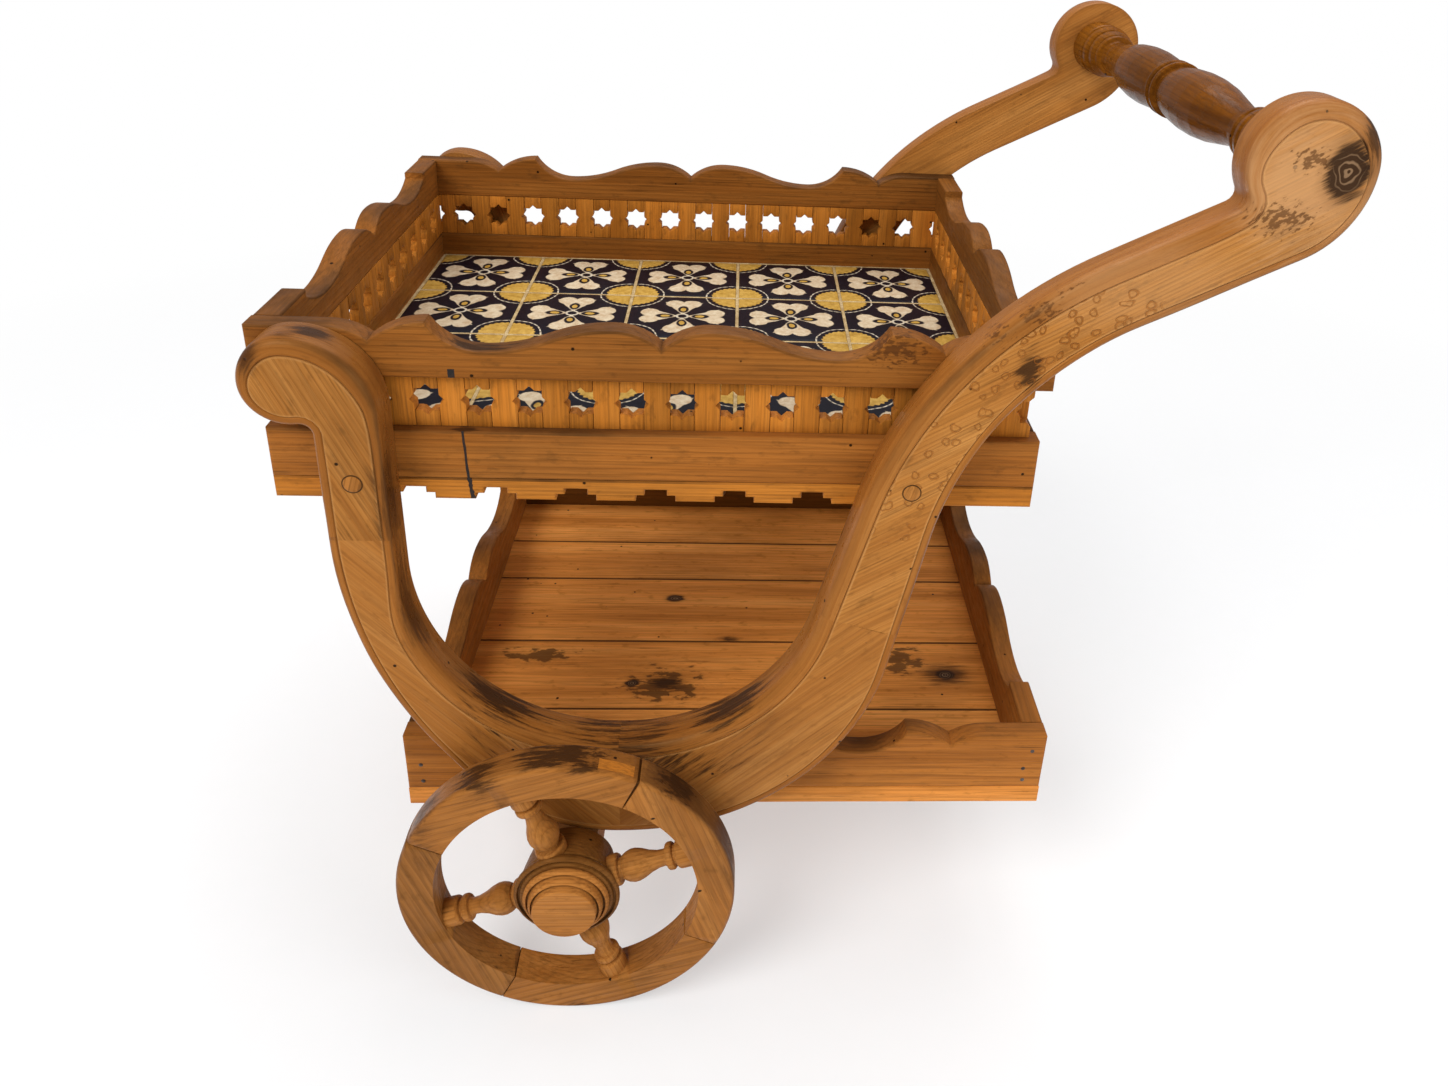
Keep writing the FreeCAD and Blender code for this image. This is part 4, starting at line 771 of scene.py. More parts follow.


# Tone by side and end is painted light and shade: the near left boards are lighter as painted light, the far
# right and rear boards darker as painted shade, the right shelf side most of all.
for side, painted_light_and_shade in (("left", 0.3), ("right", -1.0)):
    board(f"{side}_top_rail", 1, tray_pine, "tray_wood", ALONG_X, -0.65)
    board(f"{side}_apron", 1, tray_pine, "tray_wood", ALONG_X, painted_light_and_shade)
    board(f"{side}_stepped_trim", 1, star_pine, "tray_wood", ALONG_X, fade=2 * MM)
    board(f"{side}_shelf_side", 1, tray_pine, "shelf_wood", ALONG_X, painted_light_and_shade * 2.5)
# The rear end's darker tone is painted shade.
for end, painted_light_and_shade in (("front", -0.1), ("rear", -1.5)):
    board(f"{end}_top_rail", 0, tray_pine, "tray_wood", ALONG_Y, painted_light_and_shade)
    board(f"{end}_apron", 0, tray_pine, "tray_wood", ALONG_Y, painted_light_and_shade)
    board(f"{end}_trim", 0, star_pine, "tray_wood", ALONG_Y, -0.1, fade=3 * MM)
    board(f"{end}_shelf_side", 0, tray_pine, "shelf_wood", ALONG_Y, 0.05)
for number, tone in (("one", 0.45), ("two", 0.2), ("three", 0.3), ("four", 0.15), ("five", 0.2)):
    board(f"shelf_plank_{number}", 2, shelf_pine, "shelf_wood", ALONG_X, tone, fade=2 * MM, ease=PLANK_ROUND)

# %% [markdown]
# ## Star bands
# Round the tray runs a fence of short pickets. Each picket has a small vee cut at mid height
# on both edges, and short blocks with the same vee fill the gaps at top and bottom, so that
# every gap is an eight-pointed star. Pickets and blocks repeat along a line, so one Geometry
# Nodes tree lays them out, nudges each a little and gives it a tone of its own.

# %% Picket and block shapes
STAR_REACH = 12.6 * MM
STAR_HALF = STAR_REACH * math.cos(math.pi / 4)
VEE = STAR_REACH - STAR_HALF
JOINT = 0.15 * MM
BLOCK_EASE = 0.5 * MM


def cut_block(name, outline, thick):
    """Small block sawn from an outline in x and z, standing on y from 0 to its thickness."""
    count = len(outline)
    verts = [(x, y, z) for y in (0, thick) for x, z in outline]
    faces = [tuple(range(count)), tuple(range(count, 2 * count))]
    faces += [(k, (k + 1) % count, count + (k + 1) % count, count + k) for k in range(count)]
    return closed_mesh(name, verts, faces, ease=BLOCK_EASE)


def picket_outline(width, height):
    half, tall = width / 2 - JOINT, height / 2
    right_edge = [(half, -tall), (half, -VEE), (half - VEE, 0), (half, VEE), (half, tall)]
    return right_edge + [(-x, -z) for x, z in right_edge]


def filler_outline(height):
    half, low, top = STAR_HALF - JOINT, STAR_HALF, height / 2
    return [(-half, low), (-VEE, low), (0, low + VEE), (VEE, low), (half, low), (half, top), (-half, top)]


print("star gaps are", round(2 * STAR_HALF / MM, 1), "mm wide, with tips at", round(STAR_REACH / MM, 1))

# %% [markdown]
# Every tree here starts and ends alike: named inputs come in, copies of a shape are set on
# points, and they go out as real geometry with a material. So those steps are helpers.

# %% Geometry Nodes helpers
def new_tree(name, **labels):
    """Geometry Nodes tree with named inputs, given by kind of socket. Also says how to reach them."""
    tree = bpy.data.node_groups.new(name, "GeometryNodeTree")
    sockets = {label: tree.interface.new_socket(name=label, in_out="INPUT",
                                                socket_type=f"NodeSocket{kind}").identifier
               for kind, group in labels.items() for label in group}
    tree.interface.new_socket(name="Geometry", in_out="OUTPUT", socket_type="NodeSocketGeometry")
    return tree, sockets, add(tree, "NodeGroupInput").outputs


def close_tree(tree, copies, material):
    """Make the copies real, give them their material and send them out."""
    real = add(tree, "GeometryNodeRealizeInstances", {0: copies}).outputs[0]
    done = add(tree, "GeometryNodeSetMaterial", {"Geometry": real, "Material": material}).outputs[0]
    add(tree, "NodeGroupOutput", {0: done})


def either_way(tree, limit, seed):
    """A random number for each copy, up to a limit on both sides of 0."""
    low = add(tree, "ShaderNodeMath", {0: limit, 1: -1.0}, operation="MULTIPLY").outputs[0]
    return add(tree, "FunctionNodeRandomValue", {2: low, 3: limit, "Seed": seed}).outputs[1]


def own_tone(tree, copies, low, high, seed):
    """Give each copy a random tone, which it keeps."""
    tone = add(tree, "FunctionNodeRandomValue", {2: low, 3: high, "Seed": seed}).outputs[1]
    return add(tree, "GeometryNodeStoreNamedAttribute", {"Geometry": copies, "Name": "tone", "Value": tone},
               data_type="FLOAT", domain="INSTANCE").outputs[0]


def from_nodes(name, tree, sockets, settings):
    """Run a tree on an empty object and keep the result as a plain mesh."""
    maker = new_object(f"{name}_maker", bpy.data.meshes.new(f"{name}_maker"))
    modifier = maker.modifiers.new(name, "NODES")
    modifier.node_group = tree
    for setting, value in settings.items():
        modifier[sockets[setting]] = value
    made = bpy.data.meshes.new_from_object(maker.evaluated_get(bpy.context.evaluated_depsgraph_get()))
    maker.modifiers.remove(modifier)
    for used in [maker] + [value for value in settings.values() if isinstance(value, bpy.types.Object)]:
        bpy.data.objects.remove(used)
    made.name = name
    return made


print("tree helpers ready")

# %% A tree of pickets and fillers
PICKET_TONES = (-1.1, 0.6)


def band_tree():
    """Pickets on one line and fillers, above and below, on another."""
    tree, sockets, given = new_tree("star_band", Object=("Picket", "Filler"),
                                    Int=("Pickets", "Fillers", "Seed"), Material=("Wood",),
                                    Float=("Pitch", "First picket", "First filler", "Nudge"))
    pitch = add(tree, "ShaderNodeCombineXYZ", {"X": given["Pitch"]}).outputs[0]
    rows = []
    # Each row: what stands in it, which way up, and what its seed has added
    for what, up, extra in (("Picket", 1, 0.0), ("Filler", 1, 101.0), ("Filler", -1, 202.0)):
        start = add(tree, "ShaderNodeCombineXYZ", {"X": given[f"First {what.lower()}"]}).outputs[0]
        line = add(tree, "GeometryNodeMeshLine", {"Count": given[f"{what}s"], "Start Location": start,
                                                  "Offset": pitch}).outputs[0]
        shape = add(tree, "GeometryNodeObjectInfo", {"Object": given[what]}).outputs["Geometry"]
        shape = add(tree, "GeometryNodeTransform", {"Geometry": shape, "Scale": (1, 1, up)}).outputs[0]
        shape = add(tree, "GeometryNodeFlipFaces", {"Mesh": shape, "Selection": up < 0}).outputs[0]
        copies = add(tree, "GeometryNodeInstanceOnPoints", {"Points": line, "Instance": shape}).outputs[0]
        seed = add(tree, "ShaderNodeMath", {0: given["Seed"], 1: extra}, operation="ADD").outputs[0]
        shift = add(tree, "ShaderNodeCombineXYZ", {"Y": either_way(tree, given["Nudge"], seed)}).outputs[0]
        copies = add(tree, "GeometryNodeTranslateInstances", {"Instances": copies,
                                                              "Translation": shift}).outputs[0]
        rows.append(own_tone(tree, copies, *PICKET_TONES, seed))
    joined = add(tree, "GeometryNodeJoinGeometry")
    for row in reversed(rows):
        tree.links.new(row, joined.inputs[0])
    close_tree(tree, joined.outputs[0], given["Wood"])
    return tree, sockets


band_maker = band_tree()
print("band tree has", len(band_maker[0].nodes), "nodes")

# %% Lay the four bands
STAR_SHIFT = 4 * MM
LONG_SPACES, END_STARS = 15, 11
PICKET_NUDGE = 0.3 * MM
PICKET_GRIME = 0.15
# How far apart in the plank two pickets of different tone were cut
PICKET_APART, PICKET_HEART = (7.0, 0.31, 0.17), (0, 0, 0.08)
star_pitch = (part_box("left_star_band")[1].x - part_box("left_star_band")[0].x) / LONG_SPACES


def end_picket(width, height, thick, cut, half_star):
    """End picket with the vee on its inner edge. On a long side its outer end is half a star."""
    half, tall = width / 2, height / 2
    outer = [(half, -tall), (half, tall)]
    if half_star:
        lower = [(half, -STAR_REACH), (half - VEE, -STAR_HALF), (half - STAR_HALF, -STAR_HALF),
                 (half - STAR_HALF, -VEE)]
        outer[1:1] = lower + [(half - STAR_REACH, 0)] + [(x, -z) for x, z in reversed(lower)]
    outline = outer + [(-half, tall), (-half, VEE), (-half + VEE, 0), (-half, -VEE), (-half, -tall)]
    return cut_block("end_picket", [(x * cut, z) for x, z in outline][::cut], thick)


def star_band(node, axis, stars, shift, number):
    low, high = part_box(node)
    length, height, thick = high[axis] - low[axis], high.z - low.z, (high - low)[1 - axis]
    picket = cut_block("picket", picket_outline(star_pitch - 2 * STAR_HALF, height), thick)
    filler = cut_block("filler", filler_outline(height), thick)
    first_star = -(stars - 1) / 2 * star_pitch - shift
    mesh = from_nodes(f"{node}_pickets", *band_maker,
                      {"Picket": new_object(f"{node}_picket", picket),
                       "Filler": new_object(f"{node}_filler", filler), "Pickets": stars - 1,
                       "Fillers": stars, "Pitch": star_pitch, "First picket": first_star + star_pitch / 2,
                       "First filler": first_star, "Nudge": PICKET_NUDGE, "Seed": number, "Wood": star_pine})
    bm = bmesh.new()
    bm.from_mesh(mesh)
    # The two ends are closed by wider end pickets
    for cut in (1, -1):
        inner_edge = (first_star + (stars - 1) * star_pitch if cut > 0 else -first_star) + STAR_HALF
        width = length / 2 - inner_edge
        if width > 2 * VEE:
            end_mesh = end_picket(width, height, thick, cut, axis == 0)
            end_mesh.transform(Matrix.Translation((cut * (inner_edge + width / 2), 0, 0)))
            bm.from_mesh(end_mesh)
    if axis == 1:
        bmesh.ops.rotate(bm, verts=bm.verts, matrix=Matrix.Rotation(math.pi / 2, 3, "Z"))
    middle = (low + high) / 2
    base = Vector((middle.x, low.y, middle.z)) if axis == 0 else Vector((high.x, middle.y, middle.z))
    bmesh.ops.translate(bm, verts=bm.verts, vec=base)
    bmesh.ops.recalc_face_normals(bm, faces=bm.faces)
    bm.to_mesh(mesh)
    bm.free()
    tones = np.empty(len(mesh.vertices), np.float32)
    mesh.attributes["tone"].data.foreach_get("value", tones)
    # The band draws its plank like any board, then each picket moves within it by its tone
    lay_grain(mesh, UPRIGHT)
    store(mesh, "grain_at", points_of(mesh)[:, [2, 0, 1]] + tones[:, None] * PICKET_APART + PICKET_HEART)
    store(mesh, "tone", tones)
    store(mesh, "edge", np.full(len(tones), PICKET_GRIME))
    finish_faces(mesh)
    one_finish(mesh, star_pine)
    return show(new_object(f"{node}_pickets", mesh), "cart", node, slot="band_wood")


for number, (side, axis, stars, shift) in enumerate((("left", 0, LONG_SPACES - 1, STAR_SHIFT),
                                                     ("right", 0, LONG_SPACES - 1, STAR_SHIFT),
                                                     ("front", 1, END_STARS, 0), ("rear", 1, END_STARS, 0))):
    piece = star_band(f"{side}_star_band", axis, stars, shift, number)
    print(piece.name, len(piece.data.polygons), "faces")

# %% [markdown]
# ## Glazed tiles
# The tray is laid with square tiles, each pressed from clay with a slightly crowned face and
# painted with a traditional motif: four cream petals, a yellow-centred drop at the foot of
# each, and quarter discs at the corners that meet across four tiles. A Geometry Nodes grid
# lays them with a hair of unevenness. Every tile keeps its own coordinates from before it was
# laid, so that one painted pattern serves them all.

# %% Painted glaze
# The pattern is measured from the tile's middle, with 1 at its edge
BRUSH_WOBBLE = (0.05, 0.05, 0)
DISC_EDGE, DISC_LINE = (0.482, 0.462), 0.578
# Turns for seven scallops round each quarter disc
SCALLOP_TURNS, SCALLOP_DEEP = 28.0, 0.014
# How far apart in the noise two tiles of different tone lie
TILE_APART = 17.0
# Noises of the brush, the glaze and its pits: scale, detail, roughness
GLAZE_NOISE = ((6.0, 3.0, 0.5), (9.0, 5.0, 0.65), (30.0, 2.0, 0.5))
# Ovals of the motif, lobe, drop, core, eye and pupil: middle, half sizes, softness of the brush
MOTIF = (((0.615, 0.160), (0.180, 0.178), 0.05), ((0.335, 0), (0.165, 0.100), 0.10),
         ((0.325, 0), (0.085, 0.052), 0.14), ((0, 0), (0.125, 0.125), 0.08), ((0, 0), (0.085, 0.085), 0.10))
GLAZE_RELIEF, GLAZE_STRONG = 0.4 * MM, 0.25
GLAZE_IOR, GLAZE_SHINE = 1.5, 0.12
GLAZES = {"ground": ("#14141f", "#0a0a12"), "cream": ("#d6c6a8", "#b79b78"),
          "yellow": ("#c9a14f", "#a2792d"), "white": ("#d8cdb8", "#b3a184")}


def painted_glaze():
    """Tin glaze: near-black ground, cream petals, yellow drops and corner discs, glossy and a bit wavy."""
    material, t = new_material("painted_tin_glaze")
    at = add(t, "ShaderNodeAttribute", attribute_name="tile_at").outputs["Vector"]
    own = add(t, "ShaderNodeAttribute", attribute_name="tone").outputs["Fac"]
    own = add(t, "ShaderNodeMath", {0: own, 1: TILE_APART}, operation="MULTIPLY").outputs[0]
    brush, mottle, pits = (
        add(t, "ShaderNodeTexNoise", {"Vector": at, "W": own, "Scale": scale, "Detail": detail,
                                      "Roughness": rough}, noise_dimensions="4D").outputs
        for scale, detail, rough in GLAZE_NOISE)
    mottle = mottle["Fac"]
    wobble = add(t, "ShaderNodeVectorMath", {0: brush["Color"], 1: (0.5, 0.5, 0.5)},
                 operation="SUBTRACT").outputs[0]
    drawn = add(t, "ShaderNodeVectorMath", {0: wobble, 1: BRUSH_WOBBLE, 2: at},
                operation="MULTIPLY_ADD").outputs[0]
    folded = add(t, "ShaderNodeVectorMath", {0: drawn}, operation="ABSOLUTE").outputs[0]
    across = add(t, "ShaderNodeSeparateXYZ", {0: folded}).outputs
    out, aside = (add(t, "ShaderNodeMath", {0: across[0], 1: across[1]}, operation=larger).outputs[0]
                  for larger in ("MAXIMUM", "MINIMUM"))
    spot = add(t, "ShaderNodeCombineXYZ", {"X": out, "Y": aside}).outputs[0]

    def oval(middle, reach, soft):
        """1 inside an oval of the folded petal, fading over a brush's softness."""
        moved = add(t, "ShaderNodeVectorMath", {0: spot, 1: (*middle, 0)}, operation="SUBTRACT").outputs[0]
        scaled = add(t, "ShaderNodeVectorMath", {0: moved, 1: (1 / reach[0], 1 / reach[1], 0)},
                     operation="MULTIPLY").outputs[0]
        size = add(t, "ShaderNodeVectorMath", {0: scaled}, operation="LENGTH").outputs["Value"]
        return add(t, "ShaderNodeMapRange", {"Value": size, "From Min": 1 + soft,
                                             "From Max": 1 - soft}).outputs[0]

    lobe, drop, core, eye, pupil = (oval(*shape) for shape in MOTIF)
    slope = add(t, "ShaderNodeMath", {0: out, 1: 0.60, 2: -0.045}, operation="MULTIPLY_ADD").outputs[0]
    inside = add(t, "ShaderNodeMath", {0: slope, 1: aside}, operation="SUBTRACT").outputs[0]
    cone = add(t, "ShaderNodeMapRange", {"Value": inside, "From Min": -0.008, "From Max": 0.008}).outputs[0]
    short = add(t, "ShaderNodeMapRange", {"Value": out, "From Min": 0.70, "From Max": 0.66}).outputs[0]
    cone = add(t, "ShaderNodeMath", {0: cone, 1: short}, operation="MULTIPLY").outputs[0]
    petal = add(t, "ShaderNodeMath", {0: lobe, 1: cone}, operation="MAXIMUM").outputs[0]
    corner = add(t, "ShaderNodeVectorMath", {0: (1, 1, 0), 1: folded}, operation="SUBTRACT").outputs[0]
    corner = add(t, "ShaderNodeVectorMath", {0: corner, 1: (1, 1, 0)}, operation="MULTIPLY").outputs[0]
    far = add(t, "ShaderNodeVectorMath", {0: corner}, operation="LENGTH").outputs["Value"]
    parts = add(t, "ShaderNodeSeparateXYZ", {0: corner}).outputs
    angle = add(t, "ShaderNodeMath", {0: parts[1], 1: parts[0]}, operation="ARCTAN2").outputs[0]
    turns = add(t, "ShaderNodeMath", {0: angle, 1: SCALLOP_TURNS}, operation="MULTIPLY").outputs[0]
    scallop = add(t, "ShaderNodeMath", {0: turns}, operation="SINE").outputs[0]
    edge = add(t, "ShaderNodeMath", {0: scallop, 1: SCALLOP_DEEP, 2: far}, operation="MULTIPLY_ADD").outputs[0]
    disc = add(t, "ShaderNodeMapRange", {"Value": edge, "From Min": DISC_EDGE[0],
                                         "From Max": DISC_EDGE[1]}).outputs[0]
    line = add(t, "ShaderNodeMath", {0: far, 1: DISC_LINE}, operation="SUBTRACT").outputs[0]
    line = add(t, "ShaderNodeMath", {0: line}, operation="ABSOLUTE").outputs[0]
    line = add(t, "ShaderNodeMapRange", {"Value": line, "From Min": 0.018, "From Max": 0.008}).outputs[0]
    rope = add(t, "ShaderNodeMapRange", {"Value": scallop, "From Min": -1.0, "From Max": 0.2,
                                         "To Min": 0.35}).outputs[0]
    line = add(t, "ShaderNodeMath", {0: line, 1: rope}, operation="MULTIPLY").outputs[0]
    thickness = add(t, "ShaderNodeMapRange", {"Value": mottle, "From Min": 0.35, "From Max": 0.68}).outputs[0]
    glazes = {name: add(t, "ShaderNodeMix", {0: thickness, 6: linear(thin), 7: linear(thick)},
                        data_type="RGBA").outputs[2] for name, (thin, thick) in GLAZES.items()}
    colour = glazes["ground"]
    for mask, glaze in ((disc, "yellow"), (line, "white"), (petal, "cream"), (drop, "ground"),
                        (core, "yellow"), (eye, "white"), (pupil, "ground")):
        colour = add(t, "ShaderNodeMix", {0: mask, 6: colour, 7: glazes[glaze]}, data_type="RGBA").outputs[2]
    speck = add(t, "ShaderNodeMapRange", {"Value": pits["Fac"], "From Min": 0.70, "From Max": 0.76,
                                          "To Max": 0.6}).outputs[0]
    colour = add(t, "ShaderNodeMix", {0: speck, 6: colour, 7: linear("#3a2616")}, data_type="RGBA").outputs[2]
    gloss = add(t, "ShaderNodeMapRange", {"Value": mottle, "To Min": 0.2, "To Max": 0.42}).outputs[0]
    close_material(t, colour, gloss, mottle, GLAZE_RELIEF, GLAZE_STRONG,
                   {"IOR": GLAZE_IOR, "Specular IOR Level": GLAZE_SHINE})
    return material


tile_glaze = painted_glaze()
print("glaze has", len(tile_glaze.node_tree.nodes), "nodes")

# %% One crowned tile, laid on a grid
TILE_SIDE, TILE_JOINT = 105 * MM, 3 * MM
TILE_COLUMNS, TILE_ROWS = 5, 4
CROWN, ARRIS = 0.5 * MM, 1.2 * MM
TILE_CELLS = 14
TILE_TILT, TILE_LIFT = math.radians(0.12), 0.15 * MM
TILE_SEED = 5


def crowned_tile(thick):
    """Square tile with a softly crowned top and rounded arrises, its underside flat."""
    half = TILE_SIDE / 2
    bm = bmesh.new()
    bmesh.ops.create_grid(bm, x_segments=TILE_CELLS, y_segments=TILE_CELLS, size=half)
    spread = bmesh.ops.extrude_face_region(bm, geom=bm.faces[:])
    lower = [v for v in spread["geom"] if isinstance(v, bmesh.types.BMVert)]
    bmesh.ops.translate(bm, verts=lower, vec=(0, 0, -thick))
    bmesh.ops.recalc_face_normals(bm, faces=bm.faces)
    for vert in bm.verts:
        if vert.co.z > -thick / 2:
            vert.co.z -= CROWN * ((vert.co.x / half) ** 6 + (vert.co.y / half) ** 6)
    rim = [e for e in bm.edges if len({f.normal.z > 0.5 for f in e.link_faces}) == 2
           and all(v.co.z > -thick / 2 for v in e.verts)]
    bmesh.ops.bevel(bm, geom=rim, offset=ARRIS, segments=3, affect="EDGES", profile=0.5)
    mesh = bpy.data.meshes.new("tile")
    bm.to_mesh(mesh)
    bm.free()
    store(mesh, "tile_at", points_of(mesh) / half * [1, 1, 0])
    return mesh


def tile_tree():
    """Tiles on a grid, each with a hair of tilt and lift and a tone of its own."""
    tree, sockets, given = new_tree("tile_field", Object=("Tile",), Int=("Columns", "Rows", "Seed"),
                                    Float=("Pitch", "Tilt", "Lift"), Material=("Glaze",))
    sides = []
    for count in ("Columns", "Rows"):
        gaps = add(tree, "ShaderNodeMath", {0: given[count], 1: 1.0}, operation="SUBTRACT").outputs[0]
        side = add(tree, "ShaderNodeMath", {0: gaps, 1: given["Pitch"]}, operation="MULTIPLY").outputs[0]
        sides.append(side)
    grid = add(tree, "GeometryNodeMeshGrid", {"Size X": sides[0], "Size Y": sides[1],
                                              "Vertices X": given["Columns"],
                                              "Vertices Y": given["Rows"]}).outputs[0]
    shape = add(tree, "GeometryNodeObjectInfo", {"Object": given["Tile"]}).outputs["Geometry"]
    copies = add(tree, "GeometryNodeInstanceOnPoints", {"Points": grid, "Instance": shape}).outputs[0]
    uneven = []
    for limit, extra in (("Tilt", 1.0), ("Tilt", 2.0), ("Lift", 3.0)):
        seed = add(tree, "ShaderNodeMath", {0: given["Seed"], 1: extra}, operation="ADD").outputs[0]
        uneven.append(either_way(tree, given[limit], seed))
    tilt = add(tree, "ShaderNodeCombineXYZ", {"X": uneven[0], "Y": uneven[1]}).outputs[0]
    turn = add(tree, "FunctionNodeEulerToRotation", {0: tilt}).outputs[0]
    copies = add(tree, "GeometryNodeRotateInstances", {"Instances": copies, "Rotation": turn}).outputs[0]
    lift = add(tree, "ShaderNodeCombineXYZ", {"Z": uneven[2]}).outputs[0]
    copies = add(tree, "GeometryNodeTranslateInstances", {"Instances": copies, "Translation": lift}).outputs[0]
    close_tree(tree, own_tone(tree, copies, 0.0, 1.0, given["Seed"]), given["Glaze"])
    return tree, sockets


tiles_low, tiles_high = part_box("tiles")
tiles_middle = (tiles_low + tiles_high) / 2
tile = new_object("tile_shape", crowned_tile(tiles_high.z - tiles_low.z))
field = from_nodes("painted_tiles", *tile_tree(),
                   {"Tile": tile, "Columns": TILE_COLUMNS, "Rows": TILE_ROWS, "Pitch": TILE_SIDE + TILE_JOINT,
                    "Tilt": TILE_TILT, "Lift": TILE_LIFT, "Seed": TILE_SEED, "Glaze": tile_glaze})
field.transform(Matrix.Translation((tiles_middle.x, tiles_middle.y, tiles_high.z)))
finish_faces(field, SHARP_TILE)
show(new_object("painted_tiles", field), "cart", "tiles", slot="glazed_tile")
print("tiles laid:", TILE_COLUMNS * TILE_ROWS, "with", len(field.polygons), "faces")

# %% [markdown]
# ## Plain finishes
# Grout, the hidden tray base, the axle and the caster keep their solids. Grout is sandy cement,
# the iron is dark and a little rusty, and the hidden timber is rough pine. All of them are
# speckled, and read the speckle straight from object coordinates.

# %% Grout, iron and hidden timber
SPECKLE_RELIEF, SPECKLE_STRONG = 0.3 * MM, 0.5
BROAD = 0.12
DULL_SPREAD = 0.12


def mottled(name, pale, deep, grain, rough, metallic=0.0):
    """Grainy surface of two tones: grain is the size of its speckle in metres."""
    material, t = new_material(name)
    at = add(t, "ShaderNodeTexCoord").outputs["Object"]
    fine, broad = (
        add(t, "ShaderNodeTexNoise", {"Vector": at, "Scale": scale, "Detail": detail}).outputs["Fac"]
        for scale, detail in ((1 / grain, 4.0), (BROAD / grain, 3.0)))
    both = add(t, "ShaderNodeMath", {0: fine, 1: broad}, operation="MULTIPLY").outputs[0]
    share = add(t, "ShaderNodeMapRange", {"Value": both, "From Min": 0.14, "From Max": 0.38}).outputs[0]
    colour = add(t, "ShaderNodeMix", {0: share, 6: linear(deep), 7: linear(pale)}, data_type="RGBA").outputs[2]
    dull = add(t, "ShaderNodeMapRange", {"Value": broad, "To Min": rough - DULL_SPREAD,
                                         "To Max": rough + DULL_SPREAD}).outputs[0]
    close_material(t, colour, dull, fine, SPECKLE_RELIEF, SPECKLE_STRONG, {"Metallic": metallic})
    return material


sandy_grout = mottled("sandy_grout", "#c9b183", "#97794b", 1.5 * MM, 0.9)
dark_iron = mottled("rusted_iron", "#6d6660", "#3c2d24", 3 * MM, 0.45, metallic=0.9)
bright_steel = mottled("worn_steel", "#9a958f", "#6e6862", 2 * MM, 0.35, metallic=1.0)
rough_pine = mottled("rough_hidden_pine", "#a9733c", "#76461f", 9 * MM, 0.7)
for material, kept in ((sandy_grout, ("tile_grout",)),
                       (rough_pine, ("tray_base", "axle_beam", "caster_block")),
                       (bright_steel, ("axle", "axle_washers", "axle_collars", "left_wheel_bush",
                                       "right_wheel_bush", "caster_axle", "caster_kingpin", "frame_screws",
                                       "caster_screws")),
                       (dark_iron, ("caster_plate", "caster_fork"))):
    for name in kept:
        finish = nodes[name].data.materials
        finish.clear()
        finish.append(material)
    print(material.name, "is on", len(kept), "solids")

# %% [markdown]
# ## Turned work
# The handle, hubs, caps and spokes are turned on a lathe. A lathe cuts a profile: beads, coves
# and fillets one after another along the axis. So each is a profile of (along, radius) pairs in
# millimetres, rounded by a smooth curve between its corners, and spun about the axis.

# %% A lathe
LATHE_SIDES, SPOKE_SIDES = 48, 32
PROFILE_STEP = 0.5
GRIME_PASSES, GRIME_DEEP, GRIME_MOST = 30, 1.2 * MM, 0.9
TURNED_POLISH = 0.3


def smooth_profile(pairs):
    """Profile with short even steps between its marks, in metres."""
    pairs = np.array(pairs, float)
    along = run_length(pairs)
    at = np.unique(np.concatenate([along, np.arange(0, along[-1], PROFILE_STEP)]))
    stepped = np.stack([np.interp(at, along, pairs[:, k]) for k in (0, 1)], 1)
    rounded = stepped.copy()
    rounded[1:-1] = (stepped[:-2] + 2 * stepped[1:-1] + stepped[2:]) / 4
    return rounded * MM


def lathe(name, profile, middle, axis, sides=LATHE_SIDES):
    """Spin a profile about an axis through a point. The profile starts and ends on the axis."""
    axis = Vector(axis).normalized()
    side = axis.orthogonal().normalized()
    turns = np.linspace(0, 2 * math.pi, sides, endpoint=False)
    spoke = np.outer(np.cos(turns), side) + np.outer(np.sin(turns), axis.cross(side))
    rings = [np.array(middle) + along * np.array(axis) + radius * spoke for along, radius in profile]
    faces = [(low + k, low + (k + 1) % sides, low + sides + (k + 1) % sides, low + sides + k)
             for low in range(0, sides * (len(profile) - 1), sides) for k in range(sides)]
    mesh = closed_mesh(name, np.concatenate(rings).tolist(), faces, merge=True)
    finish_faces(mesh, SHARP_TURNING)
    return mesh


def groove_grime(mesh, profile, middle, axis):
    """Dirt and wax gather in the coves and grooves of a turning."""
    axis = np.array(Vector(axis).normalized())
    spots = points_of(mesh) - np.array(middle)
    along = spots @ axis
    radius = np.linalg.norm(spots - np.outer(along, axis), axis=1)
    around = smoothed(profile[:, 1], GRIME_PASSES)
    hollow = np.interp(along, np.maximum.accumulate(profile[:, 0]), around) - radius
    store(mesh, "edge", np.clip(hollow / GRIME_DEEP, 0, 1) * GRIME_MOST)
    store(mesh, "polish", np.full(len(spots), TURNED_POLISH))


def turned_piece(name, profile, middle, axis, body, material, slot, stands_for, tone=0.0, grain=ALONG_Y):
    mesh = lathe(name, profile, middle, axis)
    lay_grain(mesh, grain, tone, origin=middle)
    groove_grime(mesh, profile, middle, axis)
    mesh.materials.append(material)
    return show(new_object(name, mesh), body, stands_for, slot=slot)


HANDLE_HALF = [(0, 19.2), (1.6, 19.2), (2.6, 23.6), (4.2, 24.8), (7, 24.8), (8.4, 23.4), (9, 20.4), (11, 20),
               (12.5, 21.2), (20, 22.6), (36, 24.6), (56, 25.8), (76, 25.6), (98, 23.8), (122, 19.8),
               (142, 16.6), (154, 15.2), (164, 15.2), (168, 16.4), (169, 19.6), (171, 20.6), (174, 20.6),
               (175.4, 19.2), (176, 17.2), (178, 17.2), (179.5, 20.4), (183, 22.6), (188, 23.2), (190.5, 22),
               (191.2, 19.4), (193.2, 19.4), (194.2, 23), (197, 25.2), (202, 25.8), (206, 24.8), (207, 22.4),
               (209, 22.4), (210, 25), (212, 25.9), (236.5, 25.9), (236.5, 10.0), (256, 10.0), (256, 0)]
handle_low, handle_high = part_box("handle_bar")
